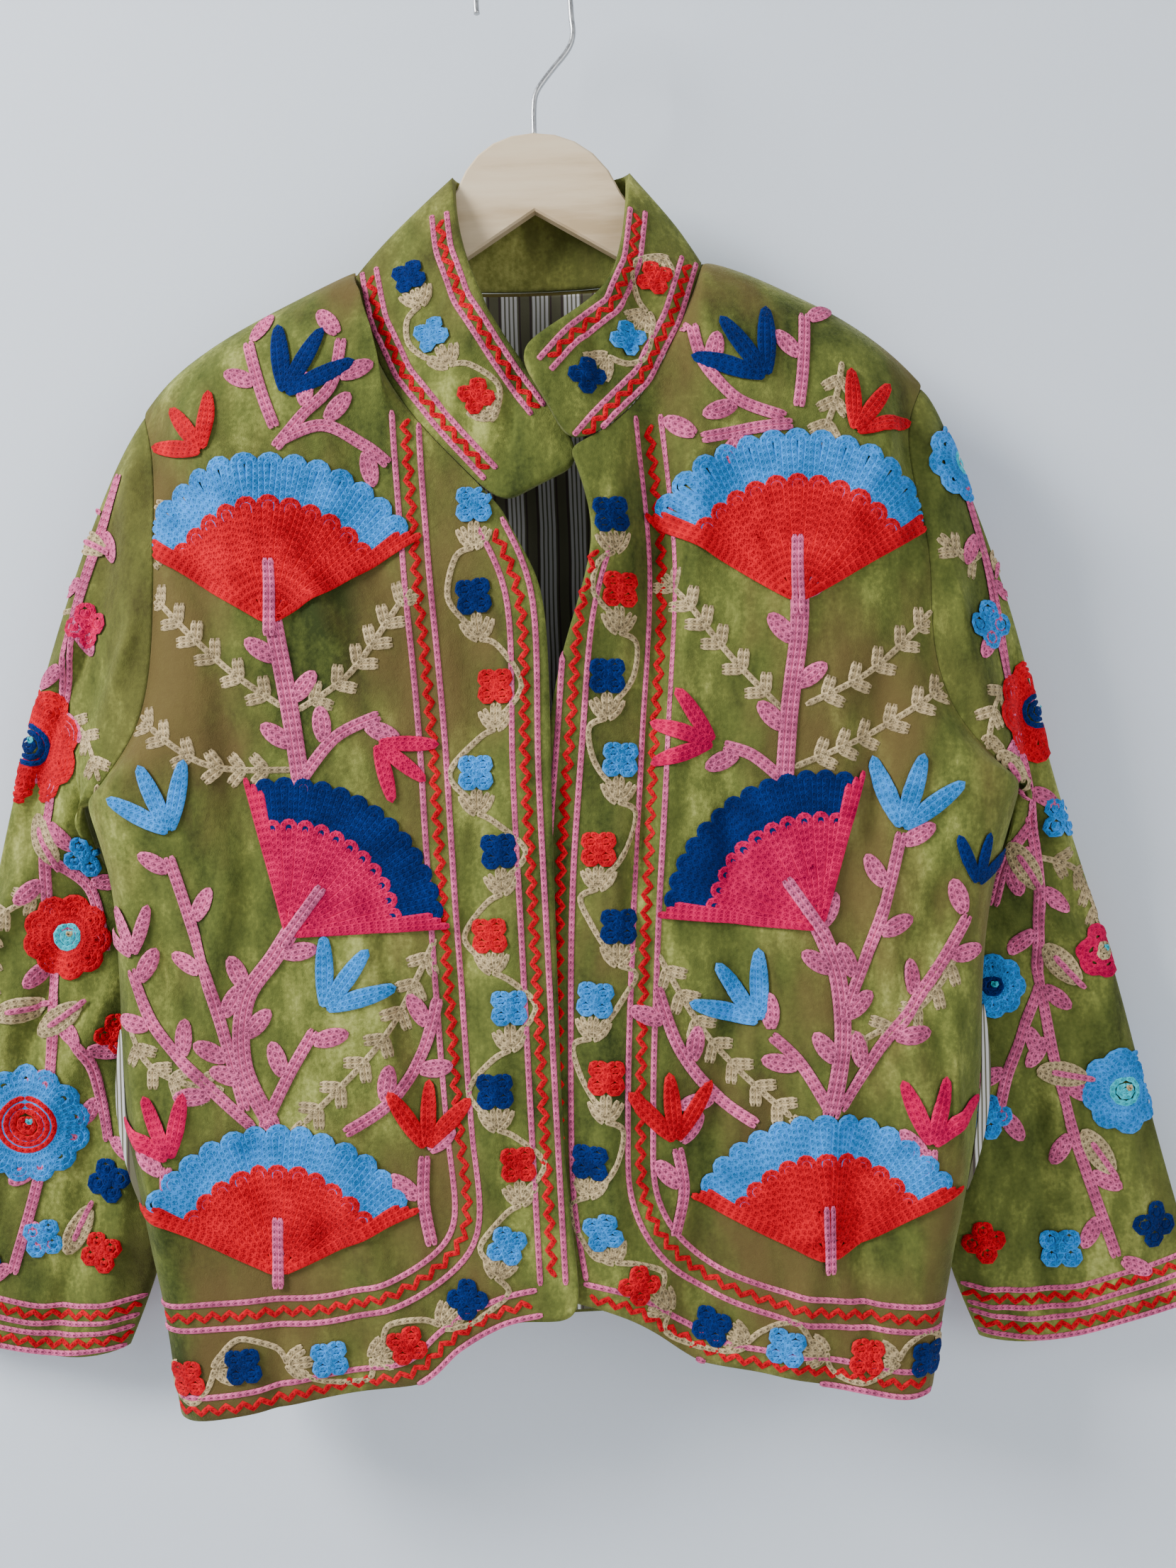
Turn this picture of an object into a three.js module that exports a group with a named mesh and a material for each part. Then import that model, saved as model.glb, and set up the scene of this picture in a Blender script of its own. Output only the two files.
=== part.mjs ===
// A short embroidered velvet jacket on its wooden hanger, in millimetres.
// +X is to the viewer's right, the front faces -Y and +Z is up. The origin is the inner top of the
// hanger's hook, where a rail or a nail carries it. "Right" and "left" in names are the wearer's.
// Every cloth piece is a wall: a grid of points on its outer face, a second grid moved in along the
// shared seam normals, and closed edges. Neighbours share their seam points and stand 0.3 apart.
import * as THREE from 'three';

// Driving sizes
const VELVET = 2.5;            // wall of one layer of velvet with its interlining
const COLLAR_WALL = 4.5;       // doubled velvet of the stand collar
const LINING_WALL = 1.0;
const LINING_INSET = 0.5;      // air between the velvet and its lining
const SEAM_GAP = 0.3;
const FRONT_DEPTH = 45;        // how far the fronts stand before the hanger's plane
const BACK_DEPTH = 30;
const SHOULDER_Y = -2;         // the shoulder seam lies a little before the ridge
const SIDE_Y = -6;             // the side seam, folded flat, with the sleeve behind it
const NECK_SHARE = 0.42;       // share of a front's width that ends at the neckline
const ARM_SHARE = 0.42;        // share of a side's length that is armhole
const SIDE_ROLL = 0.135;       // share of a front's width that rolls round to the side seam
const BACK_ROLL = 0.28;        // the back rounds away sooner, to leave room for the sleeve
const FOLD_START = 0.06;       // share of the length over which the side's fold forms
const SHOULDER_ROLL = 0.16;    // share of the length that rounds over the shoulder
const ARM_STEPS = 9;           // rows down the armhole, and half of a sleeve's ring
const SKIRT_STEPS = 8;         // rows from the underarm to the hem
const FLAT_STEPS = 4;          // columns along the shoulder before the side roll
const ROLL_STEPS = 3;          // columns in the side roll
const NECK_STATIONS = [0, 0.17, 0.34, 0.5, 0.66, 0.82, 0.95];                 // of a front neckline
const BACK_NECK_STATIONS = [0.035, 0.11, 0.22, 0.36, 0.5, 0.64, 0.78, 0.89, 0.965];
const COLLAR_STEPS = 3;

// Small helpers for curves and tables
const point = (x, y, z) => new THREE.Vector3(x, y, z);
const mix = THREE.MathUtils.lerp;
const clamp01 = (value) => Math.min(1, Math.max(0, value));
const smooth = (value) => THREE.MathUtils.smoothstep(value, 0, 1);
const round = (share) => Math.sqrt(1 - (1 - clamp01(share)) ** 2);   // quarter of an ellipse

// How far a panel has come from its side towards its flat: gently beside the armhole, where the
// sleeve carries it on, and rounded below the underarm, where it folds over at the side seam
function sideTurn(share, v) {
  return mix(smooth(share), round(share), smooth(1 + (v - ARM_SHARE) / FOLD_START));
}

// A smooth line through a table's rows of [x, z], as a point at a share of its length
function line(table) {
  const curve = new THREE.CatmullRomCurve3(table.map(([x, z]) => point(x, 0, z)), false, 'centripetal');
  curve.arcLengthDivisions = 400;
  return (share) => curve.getPointAt(clamp01(share));
}

// A value read from rows of [place, value], with straight steps between them
function lookup(table, place) {
  const last = table.length - 1;
  const next = table.findIndex((row) => row[0] >= place);
  if (next <= 0) return table[next < 0 ? last : 0][1];
  const [before, after] = [table[next - 1], table[next]];
  return mix(before[1], after[1], (place - before[0]) / (after[0] - before[0]));
}

// Outlines seen from the front: rows of [x, z]
const RIGHT = {                // the wearer's right half, at the viewer's left
  edge: [[-22, -342.5], [-12, -363], [0.5, -386], [3.2, -420], [2.5, -520], [2.5, -660], [3, -720],
    [10.7, -815]],
  neckline: [[-22, -342.5], [-48.5, -313.2], [-68.2, -291.5], [-83.6, -269.3], [-94.8, -246.8],
    [-104.5, -218.7], [-107, -188]],
  shoulder: [[-107, -188], [-168.2, -216], [-197.6, -231.8], [-222.4, -250.3], [-239.5, -270.8]],
  armhole: [[-239.5, -270.8], [-230, -299.5], [-229, -366], [-230.5, -413], [-235.9, -456], [-248.1, -478],
    [-261, -491], [-281.4, -510.5]],
  side: [[-281.4, -510.5], [-276.2, -527], [-267, -549], [-264.6, -600], [-263.8, -666], [-261.1, -726],
    [-248, -767], [-244.7, -799], [-241, -834], [-236, -873.5]],
  hem: [[10.7, -815], [8, -817.9], [-33, -817.6], [-50, -825.7], [-64.9, -836], [-84, -852], [-98, -855],
    [-133, -857.5], [-193, -868.5], [-236, -873.5]],
  outer: [[-239.5, -270.8], [-259, -298.4], [-277.5, -331], [-291.8, -372.2], [-317, -443.7],
    [-340.3, -518], [-376, -650], [-426.5, -830.3]],
  inner: [[-281.4, -510.5], [-284, -523], [-276, -547], [-260, -578], [-250, -628], [-245, -690],
    [-243, -740], [-248, -785], [-262, -818], [-275.4, -849.7]],
  cuff: [[-426.5, -830.3], [-359.6, -844.2], [-302.8, -855.9], [-275.4, -849.7]],
};
const LEFT = {                 // the wearer's left half, at the viewer's right
  edge: [[19.5, -310], [29.6, -340.7], [33.6, -366], [25.5, -392.5], [15.1, -419.8], [6.5, -442.6],
    [1.6, -477], [-5, -550], [-12, -640], [-12, -740], [-8, -806]],
  neckline: [[19.5, -310], [29, -308.5], [46.8, -297.7], [62.7, -281.7], [79.6, -251.7], [95.6, -217],
    [105, -188.5]],
  shoulder: [[105, -188.5], [133.8, -198.5], [169.3, -216.9], [190.5, -227.7], [218.6, -250.2],
    [236.2, -269.2]],
  armhole: [[236.2, -269.2], [221, -297.4], [223, -335], [232.5, -375], [228.5, -420], [232, -453.7],
    [246.4, -479.6], [267, -499], [287.9, -515.5]],
  side: [[287.9, -515.5], [280.5, -534], [268, -572], [260, -618], [258, -661.7], [254.5, -720],
    [242.3, -769], [231, -822], [222, -872]],
  hem: [[-8, -806], [23.4, -812.3], [51.5, -826], [75, -845.5], [89, -848.8], [116, -851.8],
    [137.9, -856.2], [171.6, -867.1], [200, -873.5], [222, -872]],
  outer: [[236.2, -269.2], [256.2, -288.9], [266.3, -330.5], [277, -363.3], [296.5, -431.4],
    [310.7, -495.7], [329.3, -555.6], [352.4, -630.8], [374.1, -726], [403.5, -841.7]],
  inner: [[287.9, -515.5], [290, -528], [283, -552], [265, -584], [250, -638], [241, -700], [234, -750],
    [232, -795], [243, -830], [258, -862]],
  cuff: [[403.5, -841.7], [348.4, -852.8], [288.7, -864.8], [258, -862]],
};
const BACK_NECK = [[-107, -188], [-105, -189], [-93, -192.5], [-70, -195.5], [0, -196.5], [68, -195.5],
  [91, -192.5], [103, -189.5], [105, -188.5]];
const BACK_HEM_RISE = 34;      // the back's hem lifts this much at its centre, as the fronts' do

// Depths: rows of [share of the length, y]
const RIGHT_NECK_Y = [[0, -46], [0.2, -43], [0.37, -38], [0.52, -32], [0.66, -26], [0.82, -18], [0.95, -11],
  [1, -3]];
const LEFT_NECK_Y = [[0, -52], [0.06, -52], [0.2, -49], [0.35, -44], [0.5, -38], [0.66, -30], [0.82, -20],
  [0.95, -11], [1, -3]];
const BACK_NECK_Y = [[0, -3], [0.035, 6], [0.11, 13], [0.22, 18.5], [0.36, 23], [0.5, 25], [0.64, 23],
  [0.78, 18.5], [0.89, 13], [0.965, 6], [1, -3]];
const ARM_FRONT_Y = [[0, -24], [0.4, -31], [0.75, -32], [0.88, -28], [0.97, -18], [1, SIDE_Y]];
const ARM_BACK_Y = [[0, 17], [0.4, 20], [0.75, 20], [0.88, 15], [0.97, 7], [1, SIDE_Y]];
const RIGHT_EDGE_Y = [[0, -46], [0.1, -48], [1, -48.5]];
const LEFT_EDGE_Y = [[0, -52], [0.06, -53], [0.12, -56], [0.18, -54], [0.24, -49], [0.28, -45.5], [0.34, -42.5],
  [0.4, -41], [1, -41]];
const EDGE_REACH = 0.16;       // share of the width over which an edge's own depth fades out

// Soft folds: rows of [x, z] of the upper end, [x, z] of the lower end, half-width and depth
const FOLD_COLUMNS = ['x0', 'z0', 'x1', 'z1', 'reach', 'depth'];
const asFolds = (table) => table.map((row) => Object.fromEntries(FOLD_COLUMNS.map((name, i) => [name, row[i]])));
const RIGHT_FOLDS = asFolds([
  [-150, -560, -120, -850, 26, 5],
  [-222, -560, -200, -850, 22, 5],
  [-60, -420, -70, -700, 24, 3],
  [-190, -330, -150, -470, 26, -3],
]);
const LEFT_FOLDS = asFolds([
  [69, -275, 52, -520, 20, 8],
  [100, -560, 80, -845, 26, 6],
  [185, -540, 175, -860, 26, 5],
  [40, -600, 30, -800, 18, -3],
]);
const BACK_FOLDS = asFolds([
  [-120, -330, -160, -820, 34, 6],
  [-30, -300, -20, -820, 36, 5],
  [95, -320, 120, -820, 34, 6],
]);

function foldDepth(folds, x, z) {
  let total = 0;
  for (const { x0, z0, x1, z1, reach, depth } of folds) {
    const length = (x1 - x0) ** 2 + (z1 - z0) ** 2;
    const along = ((x - x0) * (x1 - x0) + (z - z0) * (z1 - z0)) / length;
    const nearest = clamp01(along);
    const away = Math.hypot(x - mix(x0, x1, nearest), z - mix(z0, z1, nearest)) / reach;
    total += depth * Math.exp(-away * away);
  }
  return total;
}

// One half of the body: a patch between four lines. u runs from the front edge, or the middle of
// the back, to the armhole and side seam, and v from the neckline and shoulder down to the hem.
function joined(first, second, share) {
  return (at) => (at < share ? first(at / share) : second((at - share) / (1 - share)));
}

function patch(top, bottom, inside, outside) {
  return (u, v) => {
    const across = top(u).multiplyScalar(1 - v).addScaledVector(bottom(u), v);
    const innerGap = inside(v).addScaledVector(inside(0), v - 1).addScaledVector(inside(1), -v);
    const outerGap = outside(v).addScaledVector(outside(0), v - 1).addScaledVector(outside(1), -v);
    return across.addScaledVector(innerGap, 1 - u).addScaledVector(outerGap, u);
  };
}

function frontSurface(half, neckY, edgeY, folds) {
  const shoulder = line(half.shoulder);
  const side = joined(line(half.armhole), line(half.side), ARM_SHARE);
  const flat = patch(joined(line(half.neckline), shoulder, NECK_SHARE), line(half.hem), line(half.edge), side);
  return (u, v) => {
    const place = flat(u, v);
    const top = u < NECK_SHARE ? lookup(neckY, u / NECK_SHARE) : mix(-3, SHOULDER_Y, smooth((u - NECK_SHARE) * 4));
    const seam = v < ARM_SHARE ? lookup(ARM_FRONT_Y, v / ARM_SHARE) : SIDE_Y;
    const edge = lookup(edgeY, v);
    const open = mix(edge, -FRONT_DEPTH, smooth(u / EDGE_REACH));
    const over = round(v / SHOULDER_ROLL);
    const out = sideTurn((1 - u) / SIDE_ROLL, v);
    const fade = over * out * smooth(u / 0.08);
    place.y = mix(top, mix(seam, open + fade * foldDepth(folds, place.x, place.z), out), over);
    return place;
  };
}

function backSurface() {
  const halves = [RIGHT, LEFT].map((half) => {
    const seam = joined(line(half.armhole), line(half.side), ARM_SHARE);
    return { shoulder: line(half.shoulder), seam };
  });
  const neck = line(BACK_NECK);
  return (w, v) => {           // w runs from -1 at the viewer's left to 1 at the right
    const u = Math.abs(w);
    const half = halves[w < 0 ? 0 : 1];
    const onNeck = u < NECK_SHARE;
    const top = onNeck ? neck(0.5 + w / NECK_SHARE / 2) : half.shoulder((u - NECK_SHARE) / (1 - NECK_SHARE));
    const sideDrop = half.seam(v);
    const sideFoot = half.seam(1);
    const hem = point(sideFoot.x * u, 0, sideFoot.z + BACK_HEM_RISE * (1 - u ** 3));
    const place = top.clone().multiplyScalar(1 - v).addScaledVector(hem, v);
    const tip = half.shoulder(1);
    place.addScaledVector(sideDrop.addScaledVector(tip, v - 1).addScaledVector(sideFoot, -v), u);
    const topY = onNeck ? lookup(BACK_NECK_Y, 0.5 + w / NECK_SHARE / 2) : mix(-3, SHOULDER_Y, smooth((u - NECK_SHARE) * 4));
    const seamY = v < ARM_SHARE ? lookup(ARM_BACK_Y, v / ARM_SHARE) : SIDE_Y;
    const over = round(v / SHOULDER_ROLL);
    const out = sideTurn((1 - u) / BACK_ROLL, v);
    const open = BACK_DEPTH - over * out * foldDepth(BACK_FOLDS, place.x, place.z);
    place.y = mix(topY, mix(seamY, open, out), over);
    return place;
  };
}

// Where the rows and columns of every body piece lie, so that neighbours share their points
const rows = [];
for (let j = 0; j <= ARM_STEPS; j += 1) rows.push((ARM_SHARE * (1 - Math.cos((Math.PI * j) / ARM_STEPS))) / 2);
for (let j = 1; j <= SKIRT_STEPS; j += 1) rows.push(mix(ARM_SHARE, 1, j / SKIRT_STEPS));
const shoulderColumns = [];
for (let i = 0; i <= FLAT_STEPS; i += 1) shoulderColumns.push(mix(NECK_SHARE, 1 - SIDE_ROLL, i / FLAT_STEPS));
for (let i = 1; i <= ROLL_STEPS; i += 1) {
  shoulderColumns.push(1 - SIDE_ROLL * (1 - Math.cos((Math.PI / 2) * (1 - i / ROLL_STEPS))));
}
const frontColumns = [];
frontColumns.push(...NECK_STATIONS.map((share) => share * NECK_SHARE), ...shoulderColumns);
const backColumns = shoulderColumns.map((u) => -u).reverse();
backColumns.push(...BACK_NECK_STATIONS.map((share) => mix(-NECK_SHARE, NECK_SHARE, share)), ...shoulderColumns);

// A grid of points on a surface: a list of columns, each a list of points down its rows
const gridOf = (surface, across, down) => across.map((u) => down.map((v) => surface(u, v)));

const frontRight = gridOf(frontSurface(RIGHT, RIGHT_NECK_Y, RIGHT_EDGE_Y, RIGHT_FOLDS), frontColumns, rows);
const frontLeft = gridOf(frontSurface(LEFT, LEFT_NECK_Y, LEFT_EDGE_Y, LEFT_FOLDS), frontColumns, rows);
const back = gridOf(backSurface(), backColumns, rows);

// A sleeve: rings fan round the underarm from the armhole to the cuff. A ring starts at the
// shoulder's fold, comes down the front to the underarm's fold and goes up behind. The inner fold
// hangs behind the body's side. Rows: share of the outer and of the inner fold's length, depth of
// each fold, and half the ring's thickness.
const RING_COLUMNS = ['outerShare', 'innerShare', 'outerY', 'innerY', 'half'];
const RINGS = [
  [0, 0, -2, -6, 26], [0.05, 0.02, 0, 0, 24], [0.11, 0.045, 3, 8, 22], [0.19, 0.07, 8, 14, 20],
  [0.28, 0.1, 14, 20, 18], [0.37, 0.14, 18, 25, 17], [0.46, 0.2, 22, 29, 16], [0.57, 0.31, 26, 32, 15],
  [0.68, 0.45, 28, 33, 14], [0.79, 0.62, 30, 33, 13], [0.9, 0.82, 30, 32, 12], [1, 1, 30, 30, 11],
].map((row) => Object.fromEntries(RING_COLUMNS.map((name, i) => [name, row[i]])));
const BLEND_OUTER = 4;         // rings over which the armhole's loop turns into a plain ring
const BLEND_INNER = 2.5;
const TUCK = [[0, 0], [0.3, -3], [0.55, 9], [1, 0]];      // the fold beside the front armhole
const UNDERARM_EASE = 7;       // the sleeve stands off the side just outside the underarm
const EASE = [[0, 0], [1, 1], [2, 1], [3, 0.9], [5, 0.3], [6, 0]];

function sleeveGrid(half, frontGrid, backGrid) {
  const outer = line(half.outer);
  const inner = line(half.inner);
  const cuff = line(half.cuff);
  const frontSeam = frontGrid.at(-1).slice(0, ARM_STEPS + 1);
  const backSeam = (half === RIGHT ? backGrid[0] : backGrid.at(-1)).slice(0, ARM_STEPS + 1);
  const around = [...frontSeam, ...backSeam.slice(1, -1).reverse()];
  return around.map((seam, i) => RINGS.map((ring, r) => {
    const behind = i > ARM_STEPS;
    const turn = (Math.PI * (behind ? 2 * ARM_STEPS - i : i)) / ARM_STEPS;
    const across = (1 - Math.cos(turn)) / 2;
    const place = outer(ring.outerShare).lerp(inner(ring.innerShare), across);
    const sag = cuff(across).sub(cuff(0).lerp(cuff(1), across));
    place.addScaledVector(sag, ring.outerShare ** 6);
    const swell = ring.half * Math.sin(turn) ** 0.7;
    place.y = mix(ring.outerY, ring.innerY, across) + (behind ? swell : -swell);
    const near = clamp01(r / mix(BLEND_OUTER, BLEND_INNER, across));
    place.lerp(seam, 1 - smooth(near ** 0.8));
    if (!behind) place.y += lookup(TUCK, near) * Math.sin(turn);
    place.x += Math.sign(place.x) * UNDERARM_EASE * across ** 2 * lookup(EASE, r);
    return place;
  }));
}

const sleeveRight = sleeveGrid(RIGHT, frontRight, back);
const sleeveLeft = sleeveGrid(LEFT, frontLeft, back);

// The stand collar: its lower row is the neckline all round, and its upper edge is a table of
// [share of the way round, x, y, z] from the end that lies beneath to the end on top.
const COLLAR_TOP = [
  [0, 29, -42, -318], [0.08, 7, -43.5, -276], [0.14, -10.5, -43, -252.6], [0.2, -31.5, -36, -211],
  [0.26, -43.5, -24, -170], [0.305, -46, -11, -140], [0.325, -46.5, -3, -131.5], [0.345, -46, 6, -131],
  [0.4, -34, 17, -132], [0.52, 4, 22, -134], [0.63, 46, 17, -132], [0.69, 61, 6, -131],
  [0.71, 61.5, -3, -132.5], [0.73, 61, -11, -141], [0.77, 58, -24, -168], [0.82, 53, -34, -193],
  [0.88, 43, -45, -217], [0.94, 18, -54, -236], [1, -10, -58, -255.5],
];
const COLLAR_SWELL = 3;
const firstNeck = shoulderColumns.length - 1;
const lastNeck = firstNeck + BACK_NECK_STATIONS.length + 1;
const neckStations = [
  ...frontRight.slice(0, NECK_STATIONS.length).map((column) => column[0]),
  ...back.slice(firstNeck, lastNeck).map((column) => column[0]),
  ...frontLeft.slice(0, NECK_STATIONS.length + 1).map((column) => column[0]).reverse(),
];
const neckShares = [0];
for (let i = 1; i < neckStations.length; i += 1) {
  neckShares.push(neckShares[i - 1] + neckStations[i].distanceTo(neckStations[i - 1]));
}
const collarTop = new THREE.CatmullRomCurve3(COLLAR_TOP.map(([, x, y, z]) => point(x, y, z)));
const collar = neckStations.map((low, i) => {
  const place = neckShares[i] / neckShares.at(-1);
  const next = Math.max(1, COLLAR_TOP.findIndex((row) => row[0] >= place - 1e-9));
  const within = (place - COLLAR_TOP[next - 1][0]) / (COLLAR_TOP[next][0] - COLLAR_TOP[next - 1][0]);
  const high = collarTop.getPoint(clamp01((next - 1 + within) / (COLLAR_TOP.length - 1)));
  const away = point(low.x, low.y, 0).normalize();
  const column = [];
  for (let j = 0; j <= COLLAR_STEPS; j += 1) {
    const share = j / COLLAR_STEPS;
    column.push(high.clone().lerp(low, share).addScaledVector(away, COLLAR_SWELL * Math.sin(Math.PI * share)));
  }
  return column;
});

// Walls. A piece is { grid, closed, flip }: closed when its columns run round a tube, flip when the
// outer face is on the other side of (down a column) x (across the columns).
function normalsOf({ grid, closed, flip }) {
  const width = grid.length;
  return grid.map((column, i) => column.map((_, j) => {
    const left = closed ? (i + width - 1) % width : Math.max(0, i - 1);
    const right = closed ? (i + 1) % width : Math.min(width - 1, i + 1);
    const across = grid[right][j].clone().sub(grid[left][j]);
    const down = grid[i][Math.min(column.length - 1, j + 1)].clone().sub(grid[i][Math.max(0, j - 1)]);
    return down.cross(across).normalize().multiplyScalar(flip ? -1 : 1);
  }));
}

const velvetPieces = {
  front_right: { grid: frontRight, flip: true },
  front_left: { grid: frontLeft },
  back: { grid: back, flip: true },
  sleeve_right: { grid: sleeveRight, closed: true },
  sleeve_left: { grid: sleeveLeft, closed: true, flip: true },
  collar: { grid: collar, flip: true },
};
for (const piece of Object.values(velvetPieces)) piece.normals = normalsOf(piece);

// Pieces that meet at a seam point take the mean of their normals there
const seamKey = (place) => [place.x, place.y, place.z].map((value) => Math.round(value * 100)).join(' ');
const seamSums = new Map();
for (const { grid, normals } of Object.values(velvetPieces)) {
  grid.forEach((column, i) => column.forEach((place, j) => {
    const key = seamKey(place);
    if (!seamSums.has(key)) seamSums.set(key, point(0, 0, 0));
    seamSums.get(key).add(normals[i][j]);
  }));
}
for (const piece of Object.values(velvetPieces)) {
  piece.normals = piece.grid.map((column) => column.map((place) => seamSums.get(seamKey(place)).clone().normalize()));
}

// Draws a grid's border back from its seams by half the gap
function drawnBack(grid, closed, gap) {
  const last = grid.length - 1;
  return grid.map((column, i) => column.map((place, j) => {
    const moved = place.clone();
    const step = (target) => moved.addScaledVector(target.clone().sub(place).normalize(), gap);
    if (j === 0) step(column[1]);
    if (j === column.length - 1) step(column[j - 1]);
    if (!closed && i === 0) step(grid[1][j]);
    if (!closed && i === last) step(grid[last - 1][j]);
    return moved;
  }));
}

function wallGeometry({ grid, normals, closed, flip }, thickness, inset = 0, gap = SEAM_GAP / 2 + 0.02) {
  const outerGrid = drawnBack(grid, closed, gap);
  const width = grid.length;
  const height = grid[0].length;
  const places = [];
  for (const depth of [inset, inset + thickness]) {
    outerGrid.forEach((column, i) => column.forEach((place, j) => {
      places.push(...place.clone().addScaledVector(normals[i][j], -depth).toArray());
    }));
  }
  const at = (i, j, layer) => layer * width * height + (i % width) * height + j;
  const faces = [];
  const quad = (a, b, c, d) => (flip ? faces.push(a, c, b, a, d, c) : faces.push(a, b, c, a, c, d));
  // A seam's edge face turns as it goes, so both neighbours cut it along the same diagonal
  const rank = (index) => places[3 * index] * 0.31 + places[3 * index + 1] * 0.57 + places[3 * index + 2];
  const seamQuad = (a, b, c, d) => {
    const alongSeam = b < width * height ? b : d;
    if (rank(a) > rank(alongSeam)) quad(a, b, c, d);
    else quad(b, c, d, a);
  };
  const spans = closed ? width : width - 1;
  for (let i = 0; i < spans; i += 1) {
    for (let j = 0; j < height - 1; j += 1) {
      quad(at(i, j, 0), at(i, j + 1, 0), at(i + 1, j + 1, 0), at(i + 1, j, 0));
      quad(at(i, j, 1), at(i + 1, j, 1), at(i + 1, j + 1, 1), at(i, j + 1, 1));
    }
    seamQuad(at(i, 0, 0), at(i + 1, 0, 0), at(i + 1, 0, 1), at(i, 0, 1));
    seamQuad(at(i, height - 1, 0), at(i, height - 1, 1), at(i + 1, height - 1, 1), at(i + 1, height - 1, 0));
  }
  if (!closed) {
    for (let j = 0; j < height - 1; j += 1) {
      seamQuad(at(0, j, 0), at(0, j, 1), at(0, j + 1, 1), at(0, j + 1, 0));
      seamQuad(at(width - 1, j, 0), at(width - 1, j + 1, 0), at(width - 1, j + 1, 1), at(width - 1, j, 1));
    }
  }
  const geometry = new THREE.BufferGeometry();
  geometry.setAttribute('position', new THREE.Float32BufferAttribute(places, 3));
  geometry.setIndex(faces);
  return geometry;
}

const jacket = new THREE.Group();
function addMesh(name, geometry, material) {
  const mesh = new THREE.Mesh(geometry, material);
  mesh.name = name;
  jacket.add(mesh);
  return mesh;
}

const velvet = new THREE.MeshStandardMaterial({ color: 0x68742c, roughness: 0.9, metalness: 0 });
const lining = new THREE.MeshStandardMaterial({ color: 0x6f6d58, roughness: 0.8, metalness: 0 });
const birch = new THREE.MeshStandardMaterial({ color: 0xd9c3a0, roughness: 0.6, metalness: 0 });
const wire = new THREE.MeshStandardMaterial({ color: 0xa9adb0, roughness: 0.35, metalness: 1 });

for (const [name, piece] of Object.entries(velvetPieces)) {
  if (name !== 'collar') addMesh(name, wallGeometry(piece, VELVET), velvet);
}
addMesh('collar', wallGeometry(velvetPieces.collar, COLLAR_WALL, 0, 1.5 * SEAM_GAP), velvet);

// The striped lining inside the back, between the neck's columns, on the back's own points
const liningPiece = {
  grid: back.slice(firstNeck + 1, lastNeck),
  normals: velvetPieces.back.normals.slice(firstNeck + 1, lastNeck),
  flip: true,
};
addMesh('lining_back', wallGeometry(liningPiece, LINING_WALL, VELVET + LINING_INSET, 2.5), lining);

// The lining's lip that gapes from each side-seam pocket, along the front's own side points
const POCKET = [-640, -772];   // heights of the pocket's mouth
const POCKET_LIP = 7;          // how far the lip stands out
const POCKET_WALL = 1.2;
function pocketPiece(grid, outward) {
  const side = grid.at(-1);
  const inRange = [];
  for (let j = ARM_STEPS; j < side.length - 1; j += 1) {
    for (const share of [0, 0.5]) {
      const place = side[j].clone().lerp(side[j + 1], share);
      if (place.z < POCKET[0] && place.z > POCKET[1]) inRange.push(place);
    }
  }
  const lip = [0, 1, 2].map((step) => inRange.map((place, j) => {
    const open = Math.sin((Math.PI * (j + 0.6)) / (inRange.length + 0.2));
    return place.clone().add(point(outward * (0.5 + (POCKET_LIP * open * step) / 2), step * 0.8, 0));
  }));
  const piece = { grid: lip, flip: outward < 0 };
  piece.normals = lip.map((column) => column.map(() => point(0, -1, 0)));
  return piece;
}
addMesh('pocket_right', wallGeometry(pocketPiece(frontRight, -1), POCKET_WALL, 0, 0), lining);
addMesh('pocket_left', wallGeometry(pocketPiece(frontLeft, 1), POCKET_WALL, 0, 0), lining);

// The hanger: a flat birch board with an arched neck, a notch under it and an arm to each shoulder
const BOARD = 9;
const BOARD_BEVEL = 1.2;
const BOARD_Y = 4.5;           // the board's back face
const BOARD_DROP = 8;          // how far the arm's top lies below the shoulder's outer ridge
const NECK_DROP = 18;          // and below the neck's corner, under the collar's wall
const ARM_END = 208;
const ARM_TIP = 24;            // height of the arm's end
const TIP_OVERHANG = 5;
const TIP_ROUNDING = 10;
const BOARD_POINTS = {         // [x, z] of the outline between the two arms, from the notch round
  notch: [3, -155.3], leftHaunch: [54, -186], leftBelly: [100, -216], leftShoulder: [80, -181],
  leftNeck: [56, -146], leftArch: [46, -120], leftCrown: [26, -107.8], crown: [3.5, -107.8],
  rightCrown: [-20, -107.8], rightArch: [-36, -120], rightNeck: [-44, -141], rightShoulder: [-76, -177],
  rightBelly: [-92, -216], rightHaunch: [-42, -184],
};
function armTop(half) {        // follows the jacket's shoulder, from the neck's corner outwards
  const shoulder = line(half.shoulder);
  const places = [];
  for (const u of shoulderColumns) {
    const along = (u - NECK_SHARE) / (1 - NECK_SHARE);
    const { x, z } = shoulder(along);
    if (Math.abs(x) < ARM_END) places.push([x, z - mix(NECK_DROP, BOARD_DROP, smooth(along * 5))]);
  }
  return places;
}
function armTip([x, z]) {      // the three points round an arm's end: top, lower corner and underside
  const out = Math.sign(x);
  return {
    top: [x + out * TIP_OVERHANG, z - TIP_ROUNDING],
    corner: [x + out * (TIP_OVERHANG + 4), z - ARM_TIP],
    under: [x - out * 6, z - ARM_TIP],
  };
}
const outline = new THREE.Shape();
const leftArm = armTop(LEFT);
const rightArm = armTop(RIGHT);
const leftTip = armTip(leftArm.at(-1));
const rightTip = armTip(rightArm.at(-1));
const mark = BOARD_POINTS;
outline.moveTo(...mark.notch);
outline.lineTo(...mark.leftHaunch);
outline.quadraticCurveTo(...mark.leftBelly, ...leftTip.under);
outline.quadraticCurveTo(...leftTip.corner, ...leftTip.top);
for (const place of leftArm.reverse()) outline.lineTo(...place);
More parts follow.
